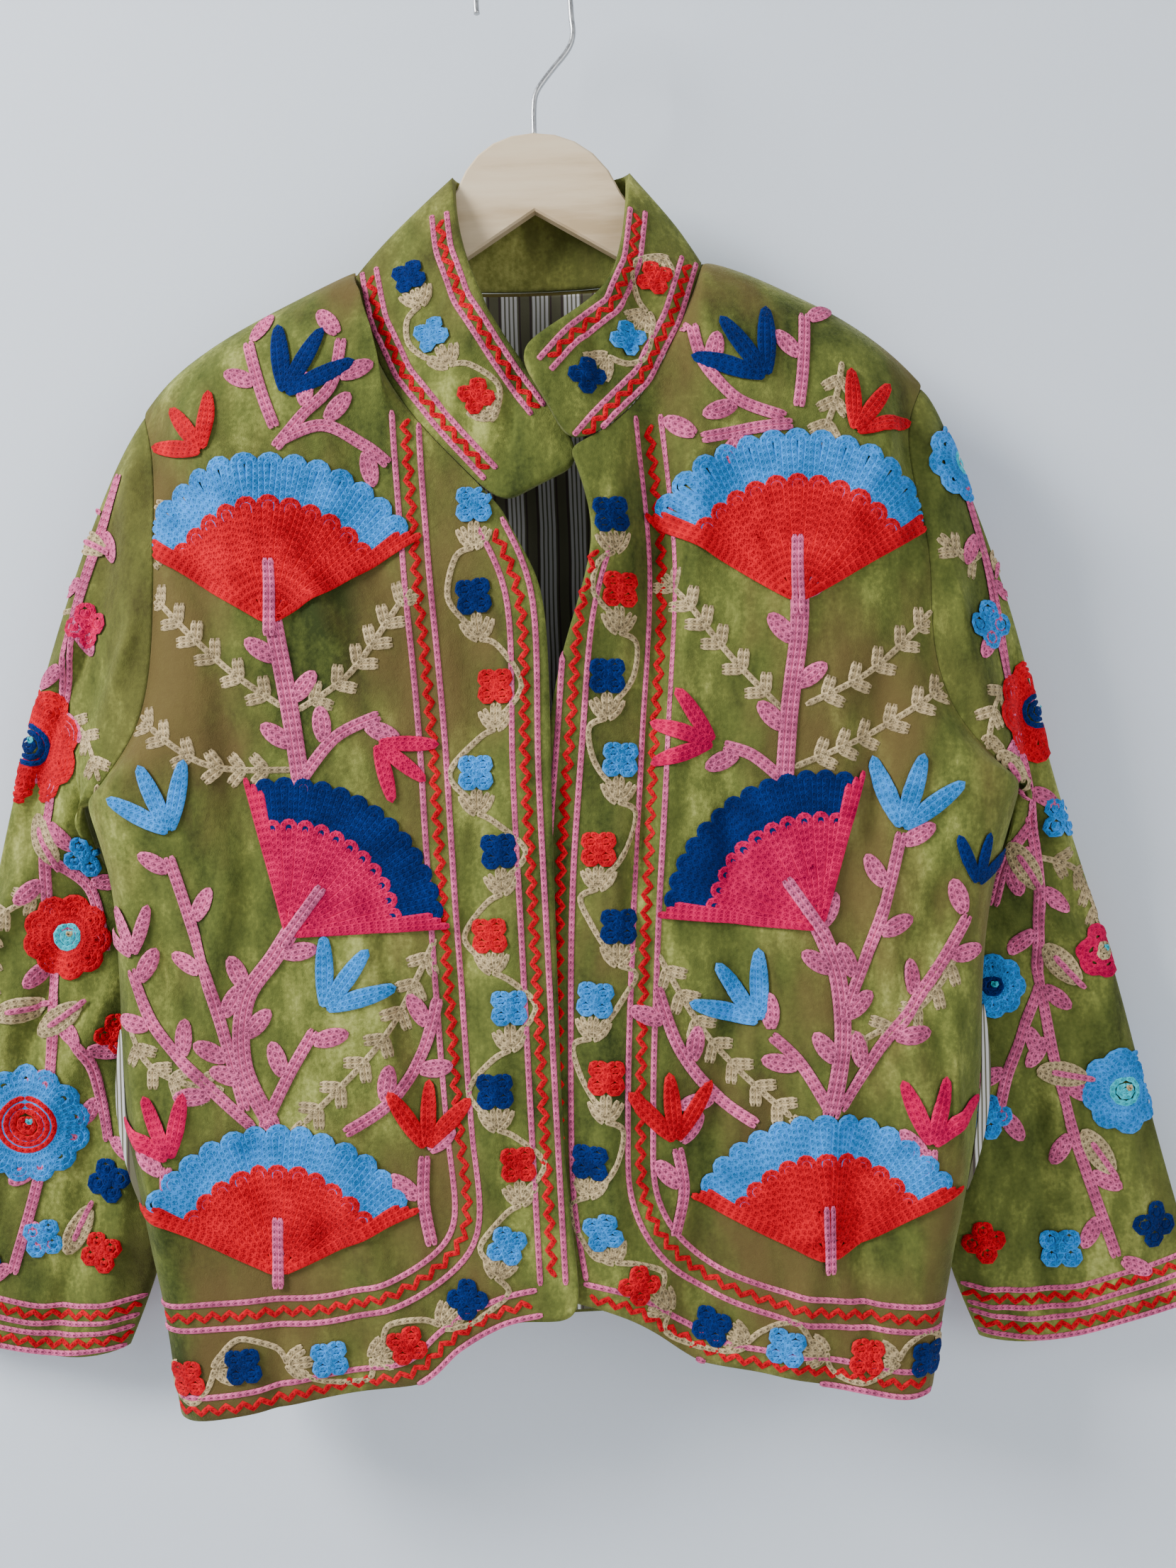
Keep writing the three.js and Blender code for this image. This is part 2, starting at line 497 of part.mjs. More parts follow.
outline.quadraticCurveTo(...mark.leftShoulder, ...mark.leftNeck);
outline.bezierCurveTo(...mark.leftArch, ...mark.leftCrown, ...mark.crown);
outline.bezierCurveTo(...mark.rightCrown, ...mark.rightArch, ...mark.rightNeck);
outline.quadraticCurveTo(...mark.rightShoulder, ...rightArm[0]);
for (const place of rightArm) outline.lineTo(...place);
outline.lineTo(...rightTip.top);
outline.quadraticCurveTo(...rightTip.corner, ...rightTip.under);
outline.quadraticCurveTo(...mark.rightBelly, ...mark.rightHaunch);
outline.lineTo(...mark.notch);
const board = new THREE.ExtrudeGeometry(outline, {
  depth: BOARD - 2 * BOARD_BEVEL, bevelEnabled: true, bevelThickness: BOARD_BEVEL, bevelSize: BOARD_BEVEL,
  bevelOffset: -BOARD_BEVEL, bevelSegments: 1, curveSegments: 5,
});
board.rotateX(Math.PI / 2);
addMesh('hanger_wood', board, birch).position.y = BOARD_Y - BOARD_BEVEL;

// The wire hook: a cranked stem that stands on the board, and a bow round the origin
const WIRE_RADIUS = 2;
const WIRE_SIDES = 8;
const WIRE_STEPS = 40;
const BOW_RADIUS = 29;         // to the wire's middle
const BOW_STEPS = 12;
const BOW_TURN = Math.PI * 1.06;
const BOARD_MIDDLE_Y = BOARD_Y - BOARD / 2;
const STEM = [[4, mark.crown[1] + SEAM_GAP], [4.5, -90], [6, -82], [16, -68.5], [27, -55.5], [30, -47], [29.2, -36]];
const wirePath = STEM.map(([x, z]) => point(x, BOARD_MIDDLE_Y, z));
for (let i = 0; i <= BOW_STEPS; i += 1) {
  const turn = (BOW_TURN * i) / BOW_STEPS;
  const rise = BOW_RADIUS * Math.sin(turn);
  wirePath.push(point(BOW_RADIUS * Math.cos(turn), BOARD_MIDDLE_Y, WIRE_RADIUS - BOW_RADIUS + rise));
}
const section = [];
for (let i = 0; i < WIRE_SIDES; i += 1) {
  const turn = (2 * Math.PI * i) / WIRE_SIDES;
  section.push(new THREE.Vector2(WIRE_RADIUS * Math.cos(turn), WIRE_RADIUS * Math.sin(turn)));
}
const hook = new THREE.ExtrudeGeometry(new THREE.Shape(section), {
  steps: WIRE_STEPS, bevelEnabled: false, extrudePath: new THREE.CatmullRomCurve3(wirePath, false, 'centripetal'),
});
addMesh('hanger_hook', hook, wire);

export default jacket;
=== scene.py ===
import math
import bmesh
import bpy
import numpy as np
from mathutils import Matrix, Vector, noise
from mathutils.bvhtree import BVHTree


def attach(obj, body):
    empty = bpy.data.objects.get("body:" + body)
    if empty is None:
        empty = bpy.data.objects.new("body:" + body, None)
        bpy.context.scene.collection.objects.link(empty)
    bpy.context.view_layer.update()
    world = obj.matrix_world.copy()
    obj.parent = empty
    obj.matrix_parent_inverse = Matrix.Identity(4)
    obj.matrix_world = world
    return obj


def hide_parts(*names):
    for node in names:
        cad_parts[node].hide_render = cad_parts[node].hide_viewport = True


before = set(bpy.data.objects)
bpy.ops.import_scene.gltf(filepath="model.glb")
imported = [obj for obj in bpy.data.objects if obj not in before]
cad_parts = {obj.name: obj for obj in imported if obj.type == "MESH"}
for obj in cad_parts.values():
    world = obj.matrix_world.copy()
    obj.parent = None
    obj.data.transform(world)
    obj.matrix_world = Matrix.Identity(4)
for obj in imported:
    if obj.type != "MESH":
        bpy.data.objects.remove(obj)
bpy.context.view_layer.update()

# The velvet of the jacket: cotton velvet in moss green, mottled light and dark at random, partly its own
# uneven tone and partly painted highlight and painted shade of its nap, with a soft light edge. In patches
# at random it turns brownish.


class Value:
    """A socket of a finish's node tree, with arithmetic on it."""

    def __init__(self, finish, socket):
        self.finish, self.socket = finish, socket

    def _math(self, operation, first, second=0.0):
        return self.finish.node("ShaderNodeMath", {"operation": operation}, {0: first, 1: second})

    def __add__(self, other): return self._math("ADD", self, other)
    def __sub__(self, other): return self._math("SUBTRACT", self, other)
    def __rsub__(self, other): return self._math("SUBTRACT", other, self)
    def __mul__(self, other): return self._math("MULTIPLY", self, other)
    def __gt__(self, other): return self._math("GREATER_THAN", self, other)
    def fraction(self): return self._math("FRACT", self)
    def magnitude(self): return self._math("ABSOLUTE", self)
    def swing(self): return self._math("PINGPONG", self, 0.5)


class Finish:
    """One material: node() adds any node, set() fills a socket of the shader."""

    def __init__(self, name, **constants):
        self.material = bpy.data.materials.new(name)
        self.material.use_nodes = True
        self.tree = self.material.node_tree
        self.shader = self.tree.nodes["Principled BSDF"]
        for socket, value in constants.items():
            self.shader.inputs[socket.replace("_", " ")].default_value = value

    def node(self, kind, settings=None, inputs=None, output=0):
        made = self.tree.nodes.new(kind)
        for key, value in (settings or {}).items():
            if key == "stops":
                ramp = made.color_ramp
                while len(ramp.elements) < len(value):
                    ramp.elements.new(0.5)
                for element, (place, colour) in zip(ramp.elements, value):
                    element.position = place
                    element.color = (*colour, 1)
            else:
                setattr(made, key, value)
        for key, value in (inputs or {}).items():
            if isinstance(value, Value):
                self.tree.links.new(value.socket, made.inputs[key])
            else:
                made.inputs[key].default_value = value
        return Value(self, made.outputs[output])

    def set(self, socket, value):
        self.tree.links.new(value.socket, self.shader.inputs[socket])

    def place(self):
        return self.node("ShaderNodeTexCoord", output="Object")

    def noise(self, scale, detail, stretch=(1, 1, 1), roughness=0.5):
        at = self.node("ShaderNodeMapping", None, {"Vector": self.place(), "Scale": stretch})
        return self.node("ShaderNodeTexNoise", None,
                         {"Vector": at, "Scale": scale, "Detail": detail, "Roughness": roughness})

    def blend(self, share, first, second):
        return self.node("ShaderNodeMix", {"data_type": "RGBA"}, {0: share, 6: first, 7: second}, output=2)

    def spread(self, value, low, high):
        return self.node("ShaderNodeMapRange", {"interpolation_type": "SMOOTHSTEP"},
                         {0: value, 1: low, 2: high})

    def bump(self, height, distance, strength):
        self.set("Normal", self.node("ShaderNodeBump", None, {"Height": height, "Distance": distance,
                                                              "Strength": strength}))


def velvet_finish(name, brown):
    nap = Finish(name, Roughness=0.9, Sheen_Weight=0.35, Sheen_Roughness=0.3,
                 Sheen_Tint=(0.55, 0.56, 0.30, 1), Specular_IOR_Level=0.1)
    cloud = nap.noise(11, 5, (1, 1, 0.5), 0.64)
    streak = nap.noise(52, 4, (1, 1, 0.45), 0.62)
    speck = nap.noise(420, 2)
    mottle_and_painted_light = cloud * 0.52 + streak * 0.36 + speck * 0.12
    # The ramp's dark end is painted shade and its light end is painted highlight, around the velvet's own
    # mid green; noise lays them at random.
    green = nap.node("ShaderNodeValToRGB", {"stops": [
        (0.38, (0.030, 0.041, 0.010)), (0.45, (0.072, 0.090, 0.020)), (0.52, (0.120, 0.141, 0.032)),
        (0.57, (0.205, 0.228, 0.054)), (0.65, (0.440, 0.460, 0.130))]}, {"Fac": mottle_and_painted_light})
    # Brownish patches, laid at random by noise; each finish gives its own share of brown.
    brown_patch = nap.spread(nap.noise(8, 4, (1, 1, 0.45), 0.6), 0.44, 0.62) * brown
    nap.set("Base Color", nap.blend(brown_patch, green, (0.125, 0.083, 0.030, 1)))
    fibre = nap.noise(1500, 2)
    pressed = nap.noise(180, 4)
    nap.bump(fibre * 0.35 + pressed * 0.65, 0.0012, 0.9)
    return nap.material


velvet = velvet_finish("velvet", 0.85)
velvet_dark = velvet_finish("velvet_sleeve", 0.3)

# The lining: a plain-woven cotton in olive grey with clusters of pale warp stripes edged by thin
# dark ones, bagged out with the velvet, so it is the inner face of each piece.
PITCH = 0.0195      # from one cluster of stripes to the next
striped = Finish("striped_lining", Roughness=0.75, Specular_IOR_Level=0.25)
across = striped.node("ShaderNodeSeparateXYZ", None, {0: striped.place()})
wander = striped.noise(14, 2) * 0.0035
repeat = ((across + wander) * (1 / PITCH)).fraction()
cluster = 1 - (repeat > 0.56)
pale = cluster * striped.spread((repeat * 7.2).fraction().swing(), 0.1, 0.28)
edging = (repeat > 0.58) * (1 - (repeat > 0.64)) + (repeat > 0.93)
ground = striped.blend(striped.noise(30, 4), (0.085, 0.082, 0.046, 1), (0.150, 0.144, 0.088, 1))
lined = striped.blend(pale * 0.9, ground, (0.68, 0.66, 0.66, 1))
striped.set("Base Color", striped.blend(edging * 0.8, lined, (0.045, 0.022, 0.030, 1)))
weave = striped.noise(1900, 1, (1, 1, 0.35))
striped.bump(weave, 0.0002, 0.6)
lining = striped.material


def surface_of(mesh):
    return BVHTree.FromPolygons([v.co for v in mesh.vertices], [tuple(f.vertices) for f in mesh.polygons])


VELVET_WALL, COLLAR_WALL, LINING_WALL, LIP_WALL = 0.0025, 0.0045, 0.001, 0.0012
VELVET_NODES = ("front_right", "front_left", "back", "sleeve_right", "sleeve_left", "collar")
walls = {name: surface_of(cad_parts[name].data) for name in VELVET_NODES}
SEAM = 0.0026       # cloth this near another piece is sewn to it, and has no fold
REACH = 0.022       # cloth this far from all others has its folds' full depth


def freedom(place, own):
    """0 on a seam with another piece, 1 where no other piece is near."""
    near = REACH
    for other in VELVET_NODES:
        if other != own and (own, other) != ("lining_back", "back"):
            distance = walls[other].find_nearest(place, near)[3]
            near = near if distance is None else distance
    share = max(0.0, near - SEAM) / (REACH - SEAM)
    return share * share * (3 - 2 * share)


def welded(node_name, angle):
    """A solid's faces, with triangles joined into quads where they turn by less than an angle."""
    work = bmesh.new()
    work.from_mesh(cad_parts[node_name].data)
    bmesh.ops.remove_doubles(work, verts=work.verts, dist=2e-5)
    bmesh.ops.join_triangles(work, faces=work.faces, angle_face_threshold=math.radians(angle),
                             angle_shape_threshold=math.radians(180))
    return work, work.edges.layers.float.new("crease_edge")


def placed(name, data):
    made = bpy.data.objects.new(name, data)
    bpy.context.scene.collection.objects.link(made)
    return made


def rounded(name, work, levels):
    """An object of the worked faces, rounded by subdivision."""
    for face in work.faces:
        face.smooth = True
    mesh = bpy.data.meshes.new(name)
    work.to_mesh(mesh)
    work.free()
    made = placed(name, mesh)
    surface = made.modifiers.new("round", "SUBSURF")
    surface.levels = surface.render_levels = levels
    return made


def regions_of(faces):
    """The faces, sorted into regions that hang together."""
    left, regions = set(faces), []
    while left:
        seed = left.pop()
        region, todo = {seed}, [seed]
        while todo:
            for edge in todo.pop().edges:
                for face in edge.link_faces:
                    if face in left:
                        left.discard(face)
                        region.add(face)
                        todo.append(face)
        regions.append(region)
    return regions


OUTWARDS = {"front_right": -1, "front_left": -1, "back": 1, "lining_back": 1}   # along y


def shell(node_name, wall, fold, levels=3, outside=None, inside=None):
    """A cloth wall on its solid's form: edges kept, faces rounded, then folded by fold(point)."""
    work, crease = welded(node_name, 60)
    rim = {face for face in work.faces if face.calc_area() < wall * 0.05
           and sum(abs(edge.calc_length() - wall) < 0.12 * wall for edge in face.edges) >= 2}
    for edge in work.edges:
        if sum(face in rim for face in edge.link_faces) == 1:
            edge[crease] = 1.0
    side = OUTWARDS.get(node_name)

    def size(region):
        """Its area, or how much of it looks outwards where one side of the piece does."""
        return sum(face.calc_area() * (face.normal.y * side if side else 1) for face in region)

    outer = max(regions_of(set(work.faces) - rim), key=size)
    for face in work.faces:
        face.material_index = 0 if face in rim or face in outer else 1
    rough = rounded("rough_" + node_name, work, levels)
    shown = bpy.data.meshes.new_from_object(rough.evaluated_get(bpy.context.evaluated_depsgraph_get()))
    bpy.data.objects.remove(rough)
    for vertex in shown.vertices:
        vertex.co += fold(vertex.co) * freedom(vertex.co, node_name)
    shown.materials.clear()
    shown.materials.append(outside or velvet)
    shown.materials.append(inside or lining)
    shown.update()
    piece = placed(node_name + "_cloth", shown)
    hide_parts(node_name)
    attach(piece, "root")
    return piece


DEPTH = 0.0024      # metres for each unit of depth in the tables of folds


def creased(table, x, z):
    """Depth in metres at (x, z) of a table of folds, each uneven along its length."""
    total = 0.0
    for number, (x0, z0, x1, z1, reach, depth) in enumerate(table):
        dx, dz = x1 - x0, z1 - z0
        length = math.hypot(dx, dz)
        along = ((x - x0) * dx + (z - z0) * dz) / length ** 2
        if -0.3 < along < 1.3:
            bow = 0.05 * length * math.sin(3.1 * along + number)
            away = ((x - x0) * dz - (z - z0) * dx) / length + bow
            fade = max(0.0, min(1.0, (along + 0.12) * 5)) * max(0.0, min(1.0, (1.12 - along) * 5))
            width = reach * (1 + 0.35 * math.sin(5 * along + 2 * number))
            uneven = 0.75 + 0.25 * math.sin(7 * along + number)
            total += depth * fade * uneven * math.exp(-(away / width) ** 2)
    return total * DEPTH


def ripple(place, amount):
    """The cloth's own small unevenness."""
    wide = noise.noise(Vector((place.x * 11, place.y * 8, place.z * 7)))
    small = noise.noise(Vector((place.x * 38, place.y * 20, place.z * 24 + 7)))
    return amount * (wide + 0.35 * small)


def folded(table, side, share, unevenness):
    """Folds of a panel that looks along y to one side, at a share of the table's depth."""
    def fold(place):
        depth = share * creased(table, place.x * 1000, place.z * 1000) + ripple(place, unevenness)
        return Vector((0, side * depth, 0))
    return fold


# The two fronts hang from the shoulders in long soft folds and meet at the centre. They are cut in
# one piece each from shoulder to hem, and sewn to the back at the shoulder and the side.
# Rows: x, z of a fold's two ends and its half-width in mm, and its depth; minus is a trough.
RIGHT_CREASES = [
    (-205, -285, -120, -420, 12, 4.2), (-222, -330, -168, -560, 13, -3.2), (-198, -545, -226, -800, 12, 3.2),
    (-240, -545, -205, -640, 8, -2.4), (-130, -640, -100, -845, 16, 3.0), (-92, -560, -74, -800, 11, -2.6),
    (-180, -700, -172, -860, 10, -2.2), (-52, -400, -46, -640, 10, -2.2), (-24, -480, -30, -790, 8, 1.8),
    (-110, -300, -84, -400, 12, -2.4), (-246, -640, -236, -760, 7, 2.6),
]
LEFT_CREASES = [
    (62, -296, 50, -560, 10, -5.2), (80, -300, 72, -540, 11, 3.4), (210, -290, 150, -430, 12, 2.6),
    (226, -350, 190, -560, 12, -3.2), (120, -430, 104, -640, 13, -2.4), (200, -560, 214, -800, 12, 3.2),
    (236, -560, 200, -640, 8, -2.4), (150, -640, 140, -850, 14, 2.8), (96, -620, 84, -835, 12, -3.0),
    (36, -540, 40, -780, 9, 2.2), (180, -700, 178, -860, 9, -2.2), (240, -650, 228, -770, 7, 2.6),
]
front_right = shell("front_right", VELVET_WALL, folded(RIGHT_CREASES, -1, 1, 0.0034))
front_left = shell("front_left", VELVET_WALL, folded(LEFT_CREASES, -1, 1, 0.0034))

# The back is one wide panel, cut with the shoulders' slope and a shallow neck. Behind, it falls in
# a few long folds from the hanger's arms, like those of the fronts.
BACK_CREASES = [
    (-205, -285, -150, -450, 13, 2.6), (-150, -260, -176, -560, 13, -3.4), (-96, -300, -120, -700, 14, 3.0),
    (-40, -360, -60, -800, 12, -3.2), (24, -280, 10, -640, 13, 2.8), (70, -420, 90, -840, 13, -3.4),
    (120, -270, 150, -520, 13, 3.0), (205, -290, 160, -470, 12, -2.6), (-200, -560, -190, -850, 12, 3.0),
    (190, -540, 200, -850, 12, 3.0), (-20, -640, -24, -850, 12, 2.6),
]
BACK_SHARE = 0.6    # its folds are flatter than the fronts'
back = shell("back", VELVET_WALL, folded(BACK_CREASES, 1, BACK_SHARE, 0.002))

# The sleeves are set into wide dropped armholes and hang a little behind the body. The slack cloth
# breaks into slanting folds under the shoulder and at the elbow, and lies smoother at the cuff.
SLEEVE_CREASES = {-1: [
    (-236, -300, -300, -430, 10, 3.4), (-262, -330, -318, -520, 9, -3.4), (-246, -400, -290, -530, 9, 3.0),
    (-300, -520, -352, -600, 9, 3.2), (-280, -560, -350, -690, 10, -3.0), (-268, -620, -330, -700, 9, 2.8),
    (-340, -640, -372, -770, 10, 2.6), (-300, -700, -318, -840, 9, -2.6), (-276, -720, -284, -840, 8, 2.4),
], 1: [
    (234, -300, 284, -430, 10, 3.2), (252, -330, 306, -540, 9, -3.4), (240, -400, 280, -520, 9, 3.0),
    (262, -430, 322, -560, 9, 2.8), (290, -560, 350, -640, 9, 3.2), (268, -580, 340, -700, 10, -3.0),
    (256, -650, 310, -720, 9, 2.6), (330, -650, 366, -800, 10, 2.6), (290, -710, 312, -850, 9, -2.6),
    (262, -730, 270, -850, 8, 2.4),
]}
# how far behind the body's plane a sleeve's middle lies, in mm, by its depth under the hook
SLEEVE_MIDDLE = ((270, 400, 500, 600, 700, 850), (0, 6, 14, 24, 29, 30))


def sleeve_fold(place):
    x, z = place.x * 1000, place.z * 1000
    middle = np.interp(-z, *SLEEVE_MIDDLE)
    side = max(-1.0, min(1.0, (place.y * 1000 - middle) / 7))
    depth = creased(SLEEVE_CREASES[1 if x > 0 else -1], x, z) + ripple(place, 0.0024)
    return Vector((0, side * depth, 0))


sleeve_right = shell("sleeve_right", VELVET_WALL, sleeve_fold, outside=velvet_dark)
sleeve_left = shell("sleeve_left", VELVET_WALL, sleeve_fold, outside=velvet_dark)

# The stand collar is a straight band of doubled velvet, folded along its upper edge. It leans out
# in a funnel, and its ends cross in front without a fastening.
COLLAR_CREASES = [
    (66, -205, 58, -255, 7, -3.4), (84, -200, 74, -262, 8, 2.6), (-60, -210, -74, -262, 8, -2.6),
    (-30, -225, -44, -290, 9, 2.4), (-6, -262, -20, -318, 7, -2.2), (36, -240, 42, -292, 8, -2.4),
]


def collar_fold(place):
    away = Vector((place.x, place.y, 0)).normalized()
    depth = ripple(place, 0.0012)
    if place.y < 0:
        depth += creased(COLLAR_CREASES, place.x * 1000, place.z * 1000)
    return away * depth


collar = shell("collar", COLLAR_WALL, collar_fold, outside=velvet_dark, inside=velvet_dark)

# The back's own lining shows through the neck, and a lip of it gapes from each side-seam pocket.


def still(place):
    return Vector((0, 0, 0))


def lining_fold(place):
    """Like the back's folds, but none at the neck."""
    below_neck = min(1, max(0, (-0.2 - place.z) * 12))
    return folded(BACK_CREASES, 1, BACK_SHARE, 0.0018)(place) * below_neck


lining_back = shell("lining_back", LINING_WALL, lining_fold, levels=2, outside=lining)
pocket_right = shell("pocket_right", LIP_WALL, still, levels=2, outside=lining)
pocket_left = shell("pocket_left", LIP_WALL, still, levels=2, outside=lining)

# The hanger is sawn from a birch board, its edges eased and its face sanded but not varnished. The
# wire of its hook is galvanised steel, bent cold and driven into the board's crown.
birch = Finish("birch", Roughness=0.55, Specular_IOR_Level=0.35)
grain = birch.noise(60, 6, (0.12, 1, 1), 0.6)
flame = birch.noise(16, 2, (0.3, 1, 1))
pores = birch.noise(900, 2, (0.05, 1, 1))
wood = birch.node("ShaderNodeValToRGB", {"stops": [
    (0.35, (0.50, 0.36, 0.20)), (0.5, (0.69, 0.54, 0.35)), (0.68, (0.78, 0.65, 0.46))]},
    {"Fac": grain * 0.7 + flame * 0.3})
birch.set("Base Color", wood)
birch.bump(pores * 0.5 + grain * 0.5, 0.0002, 0.5)
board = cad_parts["hanger_wood"]
board.data.materials.clear()
board.data.materials.append(birch.material)

zinc = Finish("galvanised_wire", Metallic=0.95, Roughness=0.34)
spangle = zinc.noise(420, 3)
zinc.set("Base Color", zinc.blend(spangle, (0.34, 0.35, 0.36, 1), (0.62, 0.63, 0.64, 1)))
zinc.set("Roughness", zinc.spread(spangle, 0.3, 0.8) * 0.25 + 0.26)
zinc.bump(zinc.noise(900, 2), 0.0001, 0.4)
hook_work, hook_crease = welded("hanger_hook", 50)
for edge in hook_work.edges:
    if any(len(face.verts) != 4 for face in edge.link_faces):
        edge[hook_crease] = 0.7
hook = rounded("wire_hook", hook_work, 2)
hook.data.materials.append(zinc.material)
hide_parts("hanger_hook")
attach(hook, "root")

# The embroidery is chain stitch in thick twisted cotton, worked in rows through the velvet before
# the lining went in. Each row is a raised ribbon of links, 4 mm wide, that follows its panel.
MM = 0.001
ROW = 3.9           # from one row to the next in a filled motif, in mm
LINK = 4.4          # the length of one link of the chain, in mm
YARNS = {
    "red": (0.70, 0.0, 0.014), "crimson": (0.74, 0.0, 0.095), "sky": (0.035, 0.31, 0.86),
    "navy": (0.002, 0.022, 0.150), "pink": (0.80, 0.155, 0.34), "beige": (0.58, 0.44, 0.24),
    "turquoise": (0.03, 0.62, 0.78),
}


def yarn_finish(name, colour):
    depth = 0.85 if name in ("pink", "beige") else 0.5      # how strongly shade is painted into the links' eyes and joints; the filled motifs are worked closer
    yarn = Finish("yarn_" + name, Roughness=0.85, Sheen_Weight=0.03, Sheen_Roughness=0.4,
                  Specular_IOR_Level=0.08)
    uv = yarn.node("ShaderNodeUVMap", {"uv_map": "stitch"})
    u = yarn.node("ShaderNodeSeparateXYZ", None, {0: uv}, output=0)
    v = yarn.node("ShaderNodeSeparateXYZ", None, {0: uv}, output=1)
    side = (u * 2 - 1).magnitude()
    # Painted shade: the eye in the middle of each link and the joint between links are darkened towards a
    # near-black copy of the yarn's colour, where the chain's hollows lie in shade.
    eye = (1 - yarn.spread(side, 0.16, 0.42)) * yarn.spread(v.swing(), 0.22, 0.4)
    shaded_joint = 1 - yarn.spread((v + side * 0.55).fraction().swing(), 0.0, 0.16)
    twist = (v * 4 + side * 1.5).swing()
    shade = yarn.spread(yarn.noise(60, 3), 0.2, 0.8)
    dark = tuple(c * 0.55 for c in colour)
    pale = tuple(min(1, c * 1.12) for c in colour)
    base = yarn.blend(shade, (*dark, 1), (*pale, 1))
    # The colour of the painted shade in the eyes and joints.
    pit_shade = tuple(c * 0.16 + 0.003 for c in colour)
    worked = yarn.blend(eye * depth, base, (*pit_shade, 1))
    yarn.set("Base Color", yarn.blend(shaded_joint * (depth * 0.6), worked, (*pit_shade, 1)))
    yarn.bump((1 - eye) * 0.6 + (1 - shaded_joint) * 0.3 + twist * 0.12, 0.0012, 0.9)
    return yarn.material


yarns = {name: yarn_finish(name, colour) for name, colour in YARNS.items()}


class Hoop:
    """A panel held for sewing: rows are given in mm as (x, z) and laid on its outer face."""

    def __init__(self, name, panel, facing):
        self.name, self.facing, self.tree = name, facing, surface_of(panel.data)
        self.places, self.faces, self.marks, self.colours = [], [], [], []

    def touch(self, x, z):
        start = Vector((x * MM, 0.3 * self.facing, z * MM))
        place, normal, _, _ = self.tree.ray_cast(start, Vector((0, -self.facing, 0)))
        if place is None or normal.y * self.facing < 0.12:
            return None
        return place, normal

    def row(self, colour, line, width=3.8, lift=0.0):
        """One row of chain stitch along a line of (x, z), lifted in mm where it lies on others."""
        steps, travelled = [], 0.0
        for (x0, z0), (x1, z1) in zip(line, line[1:]):
            length = math.hypot(x1 - x0, z1 - z0)
            count = max(1, round(length / 2.4))
            for i in range(count):
                share = i / count
                steps.append((x0 + (x1 - x0) * share, z0 + (z1 - z0) * share, travelled + length * share))
            travelled += length
        steps.append((*line[-1], travelled))
        run = []
        for x, z, along in steps:
            hit = self.touch(x, z)
            if hit and (not run or (hit[0] - run[-1][0]).length < 0.012):
                run.append((*hit, along))
            else:
                self.ribbon(colour, run, width, lift)
                run = [(*hit, along)] if hit else []
        self.ribbon(colour, run, width, lift)

    def ribbon(self, colour, run, width, lift):
        if len(run) < 3:
            return
        half = width / 2 * MM
        first = len(self.places)
        for i, (place, normal, along) in enumerate(run):
            ahead = (run[min(i + 1, len(run) - 1)][0] - run[max(i - 1, 0)][0]).normalized()
            across = ahead.cross(normal).normalized()
            end = i in (0, len(run) - 1)
            for offset, rise in ((-1, 0.0), (-0.55, 0.9), (0.55, 0.9), (1, 0.0)):
                spread = half * offset * (0.55 if end else 1)
                height = 0.2 + lift + rise * (0.3 if end else 1)
                self.places.append(place + across * spread + normal * (height * MM))
                self.marks.append(((offset + 1) / 2, along / LINK))
            if i:
                for k in range(3):
                    a = first + (i - 1) * 4 + k
                    self.faces.append((a, a + 1, a + 5, a + 4))
                    self.colours.append(colour)

    def finish(self):
        names = sorted(set(self.colours))
        mesh = bpy.data.meshes.new(self.name)
        mesh.from_pydata(self.places, [], self.faces)
        for name in names:
            mesh.materials.append(yarns[name])
        mesh.polygons.foreach_set("material_index", [names.index(c) for c in self.colours])
        mesh.polygons.foreach_set("use_smooth", [True] * len(self.faces))
        layer = mesh.uv_layers.new(name="stitch")
        flat = []
        for loop in mesh.loops:
            flat.extend(self.marks[loop.vertex_index])
        layer.data.foreach_set("uv", flat)
        mesh.update()
        piece = placed(self.name, mesh)
        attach(piece, "root")
        return piece


def smooth_line(points, steps=8):
    """A soft curve through points."""
    if len(points) < 3:
        return points
    padded = [points[0], *points, points[-1]]
    curve = []
    for p0, p1, p2, p3 in zip(padded, padded[1:], padded[2:], padded[3:]):
        for i in range(steps):
            t = i / steps
            curve.append(tuple(0.5 * (2 * b + (c - a) * t + (2 * a - 5 * b + 4 * c - d) * t * t
                                      + (3 * b - a - 3 * c + d) * t ** 3)
                               for a, b, c, d in zip(p0, p1, p2, p3)))
    return curve + [points[-1]]


def polar(base, turn, reach):
    """A point at a distance from base, turn in degrees clockwise from up."""
    return base[0] + reach * math.sin(math.radians(turn)), base[1] + reach * math.cos(math.radians(turn))


def leaf(hoop, colour, base, tip, width, lift):
    """A filled pointed leaf, in loops from the outside in."""
    dx, dz = tip[0] - base[0], tip[1] - base[1]
    length = math.hypot(dx, dz)
    ux, uz = dx / length, dz / length
    inset = ROW * 0.45
    while width / 2 - inset > ROW * 0.12:
        half, start, stop = width / 2 - inset, inset * 0.9, length - inset
        if stop - start < ROW:
            break
        loop = []
        for i in range(17):
            turn = math.pi * 2 * i / 16
            along = start + (stop - start) * (1 - math.cos(turn)) / 2
            out = half * math.sin(turn) * (0.75 + 0.25 * math.sin(math.pi * along / length))
            loop.append((base[0] + ux * along - uz * out, base[1] + uz * along + ux * out))
        hoop.row(colour, loop, 4.0, lift)
        inset += ROW * 0.82
    if length > ROW * 2.2:
        hoop.row(colour, [(base[0] + ux * length * 0.12, base[1] + uz * length * 0.12),
                          (base[0] + ux * length * 0.86, base[1] + uz * length * 0.86)], 4.0, lift + 0.1)


